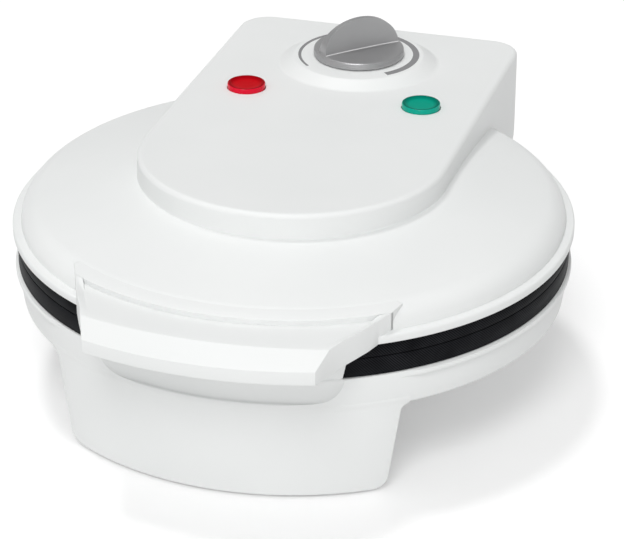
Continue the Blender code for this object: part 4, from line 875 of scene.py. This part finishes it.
guardPiece = stackRings("lidGuard", [guardRing(panRimZ + guard["low"], guard["lowHalf"]),
                                     guardRing(lidRimZ + guard["high"], guard["topHalf"])])
roundEdges(guardPiece, guard["edge"], 50, segments=2)
finishPiece(guardPiece, "lid", whitePlastic)
print("handle done")

# hinge bosses inside the tower

hingeBoss = {"radius": 5.4 * mm, "inner": 48.4 * mm, "outer": 60.0 * mm, "pinHole": 2.8 * mm,
             "pinDepth": 10 * mm, "edge": 0.4 * mm}
bossSpan = hingeBoss["outer"] - hingeBoss["inner"]
leftBoss = addRod("hingeBossLeft", hingeBoss["radius"], bossSpan,
                  (-hingeBoss["inner"] - bossSpan / 2, hingeY, hingeZ), (0, 90, 0), 64)
drillEnd(leftBoss, (1, 0, 0), hingeBoss["radius"] - hingeBoss["pinHole"], hingeBoss["pinDepth"])
roundEdges(leftBoss, hingeBoss["edge"], 50, segments=2)
for boss in (leftBoss, copyOf(leftBoss, "hingeBossRight", Matrix.Diagonal((-1, 1, 1, 1)))):
    finishPiece(boss, "lid", whitePlastic)
print("hinge bosses done")

# pilot lenses

lens = {"radius": 7.75 * mm, "stand": 2.1 * mm, "edge": 0.3 * mm, "rim": 0.7 * mm, "dish": 0.95 * mm,
        "flange": 9.1 * mm, "flangeDrop": 2.95 * mm, "flangeWall": 0.7 * mm, "steps": 96}


def lensProfile():
    # dished face, narrow rounded rim, straight side and the flange below the roof
    d = lens
    roof = consoleTopZ(lensY - plateY)
    top = roof + d["stand"]
    dishRadius = d["radius"] - d["edge"] - d["rim"]
    profile = [(0.0, top - d["dish"])]
    for step in range(1, 17):
        share = step / 16
        profile.append((dishRadius * share, top - d["dish"] * math.sqrt(max(0.0, 1 - share ** 4))))
    for step in range(6):
        turn = math.pi / 2 * step / 5
        profile.append((d["radius"] - d["edge"] * (1 - math.sin(turn)),
                        top - d["edge"] * (1 - math.cos(turn))))
    flangeTop = roof - d["flangeDrop"]
    flangeLow = flangeTop - d["flangeWall"]
    return profile + [(d["radius"], flangeTop), (d["flange"], flangeTop), (d["flange"], flangeLow),
                      (0.0, flangeLow)]


redPiece = spinProfile("redLens", lensProfile(), 0.0, lens["steps"])
greenPiece = copyOf(redPiece, "greenLens", Matrix.Translation((lensX, lensY, 0)))
redPiece.data.transform(Matrix.Translation((-lensX, lensY, 0)))
for piece, side, material, rimMaterial, node in ((redPiece, -1, redLens, redRim, "red_lens"),
                                                 (greenPiece, 1, greenLens, greenRim, "green_lens")):
    finishPiece(piece, "lid", material, [node])
    piece.data.materials.append(rimMaterial)
    # faces at the rim and side take the lighter copy: painted light
    for face in piece.data.polygons:
        reach = math.hypot(face.center.x - side * lensX, face.center.y - lensY)
        if reach > lens["radius"] - lens["edge"] * 1.2:
            face.material_index = 1
print("lenses done")

# knob: a low dome on a skirt, scooped on both sides to leave a half-moon grip

knob = {
    "radius": 18.9 * mm,
    "skirt": 3.0 * mm,
    "height": 16.1 * mm,
    "topHalf": 0.9 * mm,
    "creaseHalf": 2.4 * mm,
    "creaseRise": 0.15 * mm,
    "bow": 0.8 * mm,
    "lineSize": 0.28 * mm,
    "turn": -45.0,
    "cap": 1.2 * mm,
    "footRound": ((0.5, 0.0), (0.1, 0.15), (0.0, 0.5)),      # inset from the side and height, mm
    "skirtRound": ((0.15, -0.45), (0.4, -0.12), (0.8, 0.0)),
    "scoopSpare": 2 * mm,
    "scoopRim": 2.6 * mm,
    "edge": 0.3 * mm,
    "steps": 120,
}
knobLow = knobBox[0].z
skirtTop = knobLow + knob["skirt"]
apexZ = knobLow + knob["height"]
capRadius = knob["radius"] - knob["cap"]


def turnOnDial(degrees):
    centre = Matrix.Translation((0, dialY, 0))
    return centre @ Matrix.Rotation(math.radians(degrees), 4, "Z") @ centre.inverted()


def knobProfile():
    k = knob
    profile = [(0.0, knobLow)]
    for inset, height in k["footRound"]:
        profile.append((k["radius"] - inset * mm, knobLow + height * mm))
    for inset, height in k["skirtRound"]:
        profile.append((k["radius"] - inset * mm, skirtTop + height * mm))
    profile.append((capRadius, skirtTop + 0.1 * mm))
    for step in range(1, 28):
        turn = math.pi / 2 * step / 28
        profile.append((capRadius * math.cos(turn), skirtTop + (apexZ - skirtTop) * math.sin(turn)))
    return profile + [(0.0, apexZ)]


def scoopRings():
    # the back scoop: its section is a hollow wall up to the grip's edge and a floor out to the skirt
    k = knob
    reach = k["radius"] + k["scoopSpare"]
    wallTop = apexZ + k["scoopSpare"]
    rings = []
    for step in range(25):
        along = reach * (step / 12 - 1)
        bow = k["bow"] * (along / reach) ** 2
        section = []
        for level in range(9):
            share = level / 8
            across = k["topHalf"] + (k["creaseHalf"] - k["topHalf"]) * (1 - share) ** 2.4
            section.append((across + bow, skirtTop + k["creaseRise"] + (wallTop - skirtTop) * share))
        section += [(reach, wallTop + k["creaseRise"]), (reach, skirtTop - 0.1 * mm),
                    (k["radius"] - k["scoopRim"], skirtTop - 0.05 * mm)]
        rings.append([(-across, dialY + along, z) for across, z in section])
    return rings


knobPiece = spinProfile("knob", knobProfile(), dialY, knob["steps"])
scoop = stackRings("scoop", scoopRings())
cutWith(knobPiece, [scoop, copyOf(scoop, "scoop", turnOnDial(180))])
knobPiece.data.transform(turnOnDial(knob["turn"]))
roundEdges(knobPiece, knob["edge"], 30)
finishPiece(knobPiece, "dial", silverPaint, ["knob"], smoothAngle=38)
applyModifier(knobPiece, "WEIGHTED_NORMAL", keep_sharp=True)


def gripLineRings():
    # the fine bead where the grip stands on the skirt, at its back, given a lighter silver as a painted
    # highlight
    k = knob
    rings = []
    for step in range(31):
        along = (capRadius - 0.3 * mm) * (step / 15 - 1)
        across = k["creaseHalf"] + k["bow"] * (along / (k["radius"] + k["scoopSpare"])) ** 2
        ring = []
        for part in range(10):
            turn = 2 * math.pi * part / 10
            ring.append((-across - k["lineSize"] * math.cos(turn), dialY + along,
                         skirtTop + k["creaseRise"] + k["lineSize"] * math.sin(turn)))
        rings.append(ring)
    return rings


backLine = stackRings("gripLineBack", gripLineRings())
backLine.data.transform(turnOnDial(knob["turn"]))
for line in (backLine, copyOf(backLine, "gripLineFront", turnOnDial(180))):
    finishPiece(line, "dial", paintedHighlightSilver, smoothAngle=60)
print("knob done")

# base pan with the finger recess

basePan = {
    "rim": 108.6 * mm,
    "foot": 106.9 * mm,
    "inside": 95.6 * mm,
    "floor": 2.4 * mm,
    "recessBack": 104.4 * mm,
    "recessHalf": 47.6 * mm,
    "recessLow": 10.5 * mm,
    "recessRoof": 1.8 * mm,
    "recessCorner": 8.4 * mm,
    "recessEdge": 0.9 * mm,
    "notch": 106.5 * mm,
    "cutReach": 112 * mm,
    # inset from the side and height, in mm
    "footRound": ((1.0, 0.0), (0.45, 0.12), (0.12, 0.45), (0.0, 1.0)),
    "rimRound": ((0.0, -0.7), (0.15, -0.25), (0.6, 0.0)),
    "edge": 0.5 * mm,
    "steps": 216,
}
panSide = [(panFootZ, basePan["foot"]), (panFootZ + 1.0 * mm, basePan["foot"]),
           (panRimZ - 0.7 * mm, basePan["rim"])]


def panProfile():
    p = basePan
    floorZ = panFootZ + p["floor"]
    profile = [(0.0, panFootZ)]
    profile += [(p["foot"] - inset * mm, panFootZ + height * mm) for inset, height in p["footRound"]]
    profile += [(p["rim"] - inset * mm, panRimZ + height * mm) for inset, height in p["rimRound"]]
    return profile + [(p["inside"], panRimZ), (p["inside"], floorZ), (0.0, floorZ)]


def recessRing(z, depth, half):
    # an arc of the scoop's back, which comes forward towards both ends, and an arc outside the pan
    angle = math.asin(half / basePan["rim"])
    turns = [angle * (i / 30 - 1) for i in range(61)]
    points = [(turn, basePan["cutReach"]) for turn in turns]
    for turn in reversed(turns):
        forward = math.sqrt(max(0.0, 1 - abs(turn / angle) ** 5))
        points.append((turn, basePan["rim"] - depth * forward - 0.02 * mm))
    return [(radius * math.sin(turn), plateY - radius * math.cos(turn), z) for turn, radius in points]


def recessRings():
    # a hollow for the fingertips with a rounded lower edge, and above it the notch of the rim
    p = basePan
    floor = panRimZ - p["recessLow"]
    full = p["rim"] - p["recessBack"]
    lowHalf = p["recessHalf"] - p["recessCorner"]
    edge = p["recessEdge"]
    rings = []
    for step in range(7):
        turn = math.pi / 2 * step / 6
        z = floor - edge + edge * math.sin(turn)
        wallIn = p["rim"] - heightOn(panSide, z)
        depth = wallIn + edge * (1 - math.cos(turn))
        rings.append(recessRing(z, depth, lowHalf + edge * (1 - math.sin(turn))))
    for step in range(1, 13):
        turn = math.pi / 2 * step / 12
        rings.append(recessRing(floor + p["recessCorner"] * (1 - math.cos(turn)),
                                depth + (full - depth) * math.sin(turn),
                                p["recessHalf"] - p["recessCorner"] * (1 - math.sin(turn))))
    roof = panRimZ - p["recessRoof"]
    rings.append(recessRing(roof, full, p["recessHalf"]))
    for z in (roof + 0.3 * mm, panRimZ + 2 * mm):
        rings.append(recessRing(z, p["rim"] - p["notch"], p["recessHalf"]))
    return rings


panPiece = spinProfile("basePan", panProfile(), plateY, basePan["steps"])
cutWith(panPiece, [stackRings("recessCutter", recessRings())])
roundEdges(panPiece, basePan["edge"], 55)
finishPiece(panPiece, "base", whitePlastic, ["base_housing"])
print("pan done")

rimBead = {"stand": 0.9 * mm, "height": 2.4 * mm, "gapHalf": 66.0 * mm, "fade": 5.0, "below": 0.3 * mm,
           "rooted": 1.4 * mm, "sunk": 0.25 * mm}


def beadRings():
    # round the rim from one side of the front leg to the other, fading in and out
    r = rimBead
    gap = math.asin(r["gapHalf"] / basePan["rim"])
    top = panRimZ - r["below"]
    root = basePan["rim"] - r["rooted"]
    rings = []
    for step in range(241):
        turn = gap + (2 * math.pi - 2 * gap) * step / 240
        fromEnd = math.degrees(min(turn - gap, 2 * math.pi - gap - turn))
        share = min(1.0, fromEnd / r["fade"])
        share = share * share * (3 - 2 * share)
        ring = [(root, top)]
        for part in range(9):
            swell = math.pi * part / 8
            out = (r["sunk"] + r["stand"]) * share * math.sin(swell) ** 0.6
            ring.append((basePan["rim"] - r["sunk"] + out, top - r["height"] / 2 * (1 - math.cos(swell))))
        ring.append((root, top - r["height"]))
        rings.append([(radius * math.sin(turn), plateY - radius * math.cos(turn), z) for radius, z in ring])
    return rings


beadPiece = stackRings("rimBead", beadRings())
finishPiece(beadPiece, "base", whitePlastic, smoothAngle=50)

# legs: two hollow curved legs under the pan

frontLeg = {"facing": -1, "topHalf": 66.0 * mm, "footHalf": 61.2 * mm, "leftTop": 3.4 * mm,
            "leftFoot": 1.5 * mm, "depth": 22.0 * mm, "cordHole": False}
rearLeg = {"facing": 1, "topHalf": 62.0 * mm, "footHalf": 57.0 * mm, "leftTop": 0.0, "leftFoot": 0.0,
           "depth": 32.0 * mm, "cordHole": True}
legShared = {
    "wall": 2.4 * mm,
    "corner": 4.5 * mm,
    "flare": 2.5 * mm,
    "edge": 1.0 * mm,
    "face": 106.2 * mm,            # radius of the leg's outer face at its foot
    "swell": 0.62 * mm,
    "cordHole": 6.3 * mm,
    "cordHoleDepth": 16 * mm,
    "rootRows": ((0.9, 107.03), (1.8, 107.13), (2.8, 107.15)),      # height inside the pan and radius, mm
}


def legWidths(leg, rise):
    # half widths of the right and of the left side
    share = rise / legHeight
    half = leg["footHalf"] + (leg["topHalf"] - leg["footHalf"]) * share
    return half, leg["leftFoot"] + (leg["leftTop"] - leg["leftFoot"]) * share


def legRing(leg, half, more, inner, outer, z, steps):
    return sectorRing(inner, outer, math.asin(half / outer), z, leg["facing"], steps,
                      math.asin((half + more) / outer))


def legRings(leg):
    s = legShared
    heights = [legFootZ + s["corner"] * share for share in (0.0, 0.02, 0.08, 0.18, 0.32, 0.5, 0.72, 1.0)]
    heights += [legFootZ + 15 * mm, legFootZ + 25 * mm]
    heights += [panFootZ - s["flare"] * share for share in (1.0, 0.75, 0.5, 0.3, 0.15, 0.05, 0.0)]
    rings = []
    for z in heights:
        rise = z - legFootZ
        half, more = legWidths(leg, rise)
        if rise < s["corner"]:
            half -= s["corner"] - math.sqrt(s["corner"] ** 2 - (s["corner"] - rise) ** 2)
        below = max(panFootZ - z, 0)
        if below < s["flare"]:
            half += s["flare"] * (1 - below / s["flare"]) ** 2
        outer = s["face"] + s["swell"] * (rise / legHeight) ** 2
        rings.append(legRing(leg, half, more, outer - leg["depth"], outer, z, 48))
    for rise, radius in s["rootRows"]:
        outer = radius * mm
        rings.append(legRing(leg, leg["topHalf"] + s["flare"], leg["leftTop"], outer - leg["depth"], outer,
                             panFootZ + rise * mm, 48))
    return rings


def hollowRings(leg):
    s = legShared
    rings = []
    for z in (legFootZ - 2 * mm, legFootZ + s["corner"], panFootZ - 0.3 * mm):
        half, more = legWidths(leg, max(z - legFootZ, 0))
        rings.append(legRing(leg, half - 2 * s["wall"], more, s["face"] - leg["depth"] + s["wall"],
                             s["face"] - s["wall"], z, 31))
    return rings


for leg, label in ((frontLeg, "frontLeg"), (rearLeg, "rearLeg")):
    legPiece = stackRings(label, legRings(leg))
    cutters = [stackRings("hollow", hollowRings(leg))]
    if leg["cordHole"]:
        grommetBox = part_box("cord_grommet")
        cutters.append(addRod("hole", legShared["cordHole"], legShared["cordHoleDepth"],
                              (grommetBox[0] + grommetBox[1]) / 2, (90, 0, 0), 64))
    cutWith(legPiece, cutters)
    roundEdges(legPiece, legShared["edge"], 60)
    finishPiece(legPiece, "base", whitePlastic)
print("legs done")

# screw columns that the rubber feet and the rear cover sit on: one of each kind, then copies

footColumn = {"radius": 8.0 * mm, "low": 2.2 * mm, "hole": 2.8 * mm, "depth": 6.8 * mm}
coverColumn = {"radius": 4.4 * mm, "low": 5.8 * mm, "hole": 1.9 * mm, "depth": 8.4 * mm}
columnShared = {"edge": 0.4 * mm, "rooted": 0.2 * mm}
underFeet = {"footColumnFrontLeft": "foot_front_left", "footColumnFrontRight": "foot_front_right",
             "footColumnRearLeft": "foot_rear_left", "footColumnRearRight": "foot_rear_right"}
underCover = {"coverColumn1": "cover_screw_1", "coverColumn2": "cover_screw_2"}
for sizes, places in ((footColumn, underFeet), (coverColumn, underCover)):
    first = roundRod("column", sizes["radius"], sizes["low"], panFootZ + columnShared["rooted"], 0, 0, 64)
    drillEnd(first, (0, 0, -1), sizes["radius"] - sizes["hole"], sizes["depth"])
    roundEdges(first, columnShared["edge"], 50, segments=2)
    for name, node in places.items():
        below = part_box(node)
        middle = (below[0] + below[1]) / 2
        piece = copyOf(first, name, Matrix.Translation((middle.x, middle.y, 0)))
        finishPiece(piece, "base", whitePlastic)
    activate(first)
    bpy.ops.object.delete()
print("columns done")

# hinge arms with their knuckles

hingeArm = {
    "inner": 30.0 * mm,
    "outer": 48.0 * mm,
    "knuckle": 8.0 * mm,
    "pinHole": 2.8 * mm,
    "pinReach": 30 * mm,
    "rootIn": 104 * mm,
    "rootOut": 107.4 * mm,
    "rootRise": 2.4 * mm,
    "rootDrop": 1.8 * mm,
    "elbowBack": 5.5 * mm,
    "elbowRise": 8.2 * mm,
    "edge": 0.8 * mm,
}


def armOutline():
    # (y, z) from the root in the pan out to the knuckle and back
    a = hingeArm
    outline = [(plateY + a["rootIn"], panFootZ + a["rootRise"]),
               (plateY + a["rootOut"], panFootZ + a["rootRise"]),
               (hingeY - a["elbowBack"], panFootZ + a["elbowRise"])]
    for step in range(41):
        turn = math.radians(-45 + 225 * step / 40)
        outline.append((hingeY + a["knuckle"] * math.cos(turn), hingeZ + a["knuckle"] * math.sin(turn)))
    return outline + [(hingeY - a["knuckle"] - 0.5 * mm, panRimZ),
                      (plateY + a["rootIn"], panRimZ - a["rootDrop"])]


armSpan = hingeArm["inner"] + hingeArm["outer"]                # from the left arm to the right one
leftArm = stackRings("hingeArmLeft", [[(x, y, z) for y, z in armOutline()]
                                      for x in (-hingeArm["outer"], -hingeArm["inner"])])
cutWith(leftArm, [addRod("hole", hingeArm["pinHole"], hingeArm["pinReach"],
                         (-armSpan / 2, hingeY, hingeZ), (0, 90, 0))])
roundEdges(leftArm, hingeArm["edge"], 50)
for arm in (leftArm, copyOf(leftArm, "hingeArmRight", Matrix.Translation((armSpan, 0, 0)))):
    finishPiece(arm, "base", whitePlastic)
print("hinge arms done")

# baking plates with a traditional rosette in low relief

bakingPlate = {
    "radius": 108.3 * mm,
    "landInner": 103.2 * mm,
    "faceEdge": 101.4 * mm,
    "reliefEdge": 101.0 * mm,
    "faceDepth": 1.35 * mm,
    "landDepth": 0.15 * mm,
    "back": 5.65 * mm,
    "relief": 0.7 * mm,
    "ringStep": 0.9 * mm,
    "spinSteps": 288,
    "screwHead": 3.6 * mm,
    "seatAbove": 1.6 * mm,
    "seatDepth": 1.9 * mm,
}

# the pattern's radii and line widths, in mm
pattern = {
    "flower": 9.5,
    "flowerLobe": 3.2,
    "flowerHeart": 3.4,
    "innerRing": 17.8,
    "petalRoot": 20,
    "petalReach": 25,
    "petalBead": 41.5,
    "middleRing": 49.5,
    "scallopRoot": 56,
    "scallopReach": 20,
    "innerScallopRoot": 52,
    "innerScallopReach": 15,
    "scallopBead": 62,
    "outerRing": 82.5,
    "rayStart": 84.5,
    "rayEnd": 97,
}


def ridge(distance, width):
    # a rounded raised line
    share = abs(distance) / width
    return 0.0 if share >= 1 else (1 - share * share) ** 0.8


def bead(distance, radius):
    # a round raised dot
    return 0.0 if distance >= radius else (1 - (distance / radius) ** 2) ** 0.6


def rosette(radius, turn):
    # height of the pattern, 0 to 1, as the highest of its lines there
    p = pattern
    r = radius / mm
    fromPetal = math.sin(3 * turn) * r / 3
    lines = [ridge(r - p["flower"] - p["flowerLobe"] * math.cos(6 * turn), 1.3),
             ridge(r - p["innerRing"], 1.2), ridge(r - p["middleRing"], 1.3), ridge(r - p["outerRing"], 1.4)]
    if r < p["flowerHeart"]:
        lines.append(0.8 * (1 - (r / p["flowerHeart"]) ** 2) ** 0.5)
    if 4.2 < r < 12:
        lines.append(0.6 * ridge(fromPetal, 0.7))
    # petals drawn by their outlines and veins, with a bead between two of them
    if 19 < r < 47:
        petalEdge = p["petalRoot"] + p["petalReach"] * math.sqrt(max(0.0, abs(math.cos(3 * turn))))
        lines.append(ridge(r - petalEdge, 1.6))
        if r < petalEdge - 3:
            lines.append(0.75 * ridge(fromPetal, 0.9))
            lines += [0.55 * ridge(fromPetal + vein * (r - 22) * 0.28, 0.7) for vein in (-1, 1)]
        if r > petalEdge + 3.5:
            lines.append(bead(math.hypot(r - p["petalBead"], r * math.cos(3 * turn) / 3), 3.0))
    # scalloped border with a bead in each scallop
    if 51 < r < 82:
        scallop = abs(math.sin(6 * turn)) ** 0.7
        lines.append(ridge(r - (p["scallopRoot"] + p["scallopReach"] * scallop), 1.6))
        if r > 52.5:
            lines.append(0.8 * ridge(r - (p["innerScallopRoot"] + p["innerScallopReach"] * scallop), 1.1))
        lines.append(bead(math.hypot(r - p["scallopBead"], r * math.cos(6 * turn) / 6), 2.6))
    # rays that run out to the plain margin
    if p["rayStart"] < r < p["rayEnd"] and abs(math.sin(2 * (turn - math.pi / 4))) > 0.17:
        lines.append(0.7 * ridge(math.sin(36 * turn) * r / 36, 0.75) * min(1.0, (p["rayEnd"] - r) / 3))
    return max(lines)


def plateProfile(flangeDepth, flangeInner):
    # (radius, depth from the parting plane): face, land, rim, flange and back
    p = bakingPlate
    count = int(p["faceEdge"] / p["ringStep"])
    profile = [(p["faceEdge"] * i / count, p["faceDepth"]) for i in range(count + 1)]
    return profile + [(p["landInner"] - 0.2 * mm, p["landDepth"] + 0.12 * mm),
                      (p["landInner"] + 0.2 * mm, p["landDepth"]),
                      (p["radius"] - 0.35 * mm, p["landDepth"]),
                      (p["radius"] - 0.08 * mm, p["landDepth"] + 0.1 * mm),
                      (p["radius"], p["landDepth"] + 0.35 * mm),
                      (p["radius"], flangeDepth - 0.2 * mm),
                      (p["radius"] - 0.2 * mm, flangeDepth),
                      (flangeInner, flangeDepth),
                      (flangeInner - 0.5 * mm, p["back"]),
                      (0.0, p["back"])]


def platePiece(name, facing, flangeDepth, flangeInner, node):
    p = bakingPlate
    points = [(radius, partingZ + facing * depth) for radius, depth in plateProfile(flangeDepth, flangeInner)]
    piece = spinProfile(name, points, plateY, p["spinSteps"])
    faceZ = partingZ + facing * p["faceDepth"]
    for vertex in piece.data.vertices:
        radius = math.hypot(vertex.co.x, vertex.co.y - plateY)
        if radius < p["reliefEdge"] and abs(vertex.co.z - faceZ) < 0.01 * mm:
            turn = math.atan2(vertex.co.y - plateY, vertex.co.x)
            vertex.co.z -= facing * p["relief"] * rosette(radius, turn)
    cutters = []
    for number in range(1, 5):
        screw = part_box(node + "_screw_" + str(number))
        middle = (screw[0] + screw[1]) / 2
        low, high = sorted((faceZ - facing * p["seatAbove"], faceZ + facing * p["seatDepth"]))
        cutters.append(roundRod("screwSeat", p["screwHead"], low, high, middle.x, middle.y))
    cutWith(piece, cutters)
    body = "base" if facing < 0 else "lid"
    finishPiece(piece, body, castCoating, [node], smoothAngle=50)
    piece.data.materials.append(bakingFace)
    for face in piece.data.polygons:
        reach = math.hypot(face.center.x, face.center.y - plateY)
        if reach < p["landInner"] and abs(face.center.z - faceZ) < p["relief"] + 0.1 * mm:
            face.material_index = 1


platePiece("lowerPlate", -1, 7.3 * mm, 98.1 * mm, "lower_plate")
platePiece("upperPlate", 1, 5.5 * mm, 103.2 * mm, "upper_plate")
print("plates done")

# floor, light and camera

studio = {
    "floorColour": (0.80, 0.80, 0.80, 1),
    "floorLift": 0.25,
    "worldStrength": 0.46,
}
softLights = [
    {"name": "keyLight", "from": (0.04, -0.75, 1.0), "strength": 1.08, "angle": 24},
    {"name": "frontLight", "from": (0.22, -1.0, 0.25), "strength": 0.74, "angle": 40},
    {"name": "backLight", "from": (-0.30, 0.20, 1.2), "strength": 0.76, "angle": 9},
]


def addLight(light):
    deselectAll()
    bpy.ops.object.light_add(type="SUN", location=light["from"])
    lamp = bpy.context.object
    lamp.name = light["name"]
    lamp.data.energy = light["strength"]
    lamp.data.angle = math.radians(light["angle"])
    lamp.rotation_euler = Vector(light["from"]).to_track_quat("Z", "Y").to_euler()


deselectAll()
bpy.ops.mesh.primitive_plane_add(size=14, location=(0, 3, 0))
floor = bpy.context.object
floor.name = "floor"
floorMaterial, floorTree, floorShader = newMaterial("paleFloor", 0.6)
floorShader.inputs["Base Color"].default_value = studio["floorColour"]
floorShader.inputs["Specular IOR Level"].default_value = 0.1
rays = floorTree.nodes.new("ShaderNodeLightPath")
seen = rays.outputs["Is Camera Ray"]
for label in ("Is Glossy Ray", "Is Transmission Ray"):
    either = floorTree.nodes.new("ShaderNodeMath")
    either.operation = "MAXIMUM"
    floorTree.links.new(seen, either.inputs[0])
    floorTree.links.new(rays.outputs[label], either.inputs[1])
    seen = either.outputs[0]
lift = floorTree.nodes.new("ShaderNodeMath")
lift.operation = "MULTIPLY"
lift.inputs[1].default_value = studio["floorLift"]
floorTree.links.new(seen, lift.inputs[0])
floorShader.inputs["Emission Color"].default_value = (1, 1, 1, 1)
floorTree.links.new(lift.outputs[0], floorShader.inputs["Emission Strength"])
floor.data.materials.append(floorMaterial)

world = bpy.data.worlds.new("studio")
bpy.context.scene.world = world
world.use_nodes = True
world.node_tree.nodes["Background"].inputs["Color"].default_value = (1, 1, 1, 1)
world.node_tree.nodes["Background"].inputs["Strength"].default_value = studio["worldStrength"]

for light in softLights:
    addLight(light)

view = {"place": (0.27715, -0.95215, 0.53993), "azimuth": 15.894, "elevation": 26.829, "roll": 0.234,
        "lens": 160.65, "sensor": 36}
deselectAll()
bpy.ops.object.camera_add(location=view["place"])
camera = bpy.context.object
camera.name = "camera"
turned = (Matrix.Rotation(math.radians(view["azimuth"]), 4, "Z")
          @ Matrix.Rotation(math.radians(90 - view["elevation"]), 4, "X")
          @ Matrix.Rotation(math.radians(view["roll"]), 4, "Z"))
camera.rotation_euler = turned.to_euler()
camera.data.sensor_width = view["sensor"]
camera.data.lens = view["lens"]
camera.data.clip_start = 0.05
camera.data.clip_end = 60
bpy.context.scene.camera = camera
bpy.context.scene.view_settings.view_transform = "Standard"
print("floor, light and camera ready")
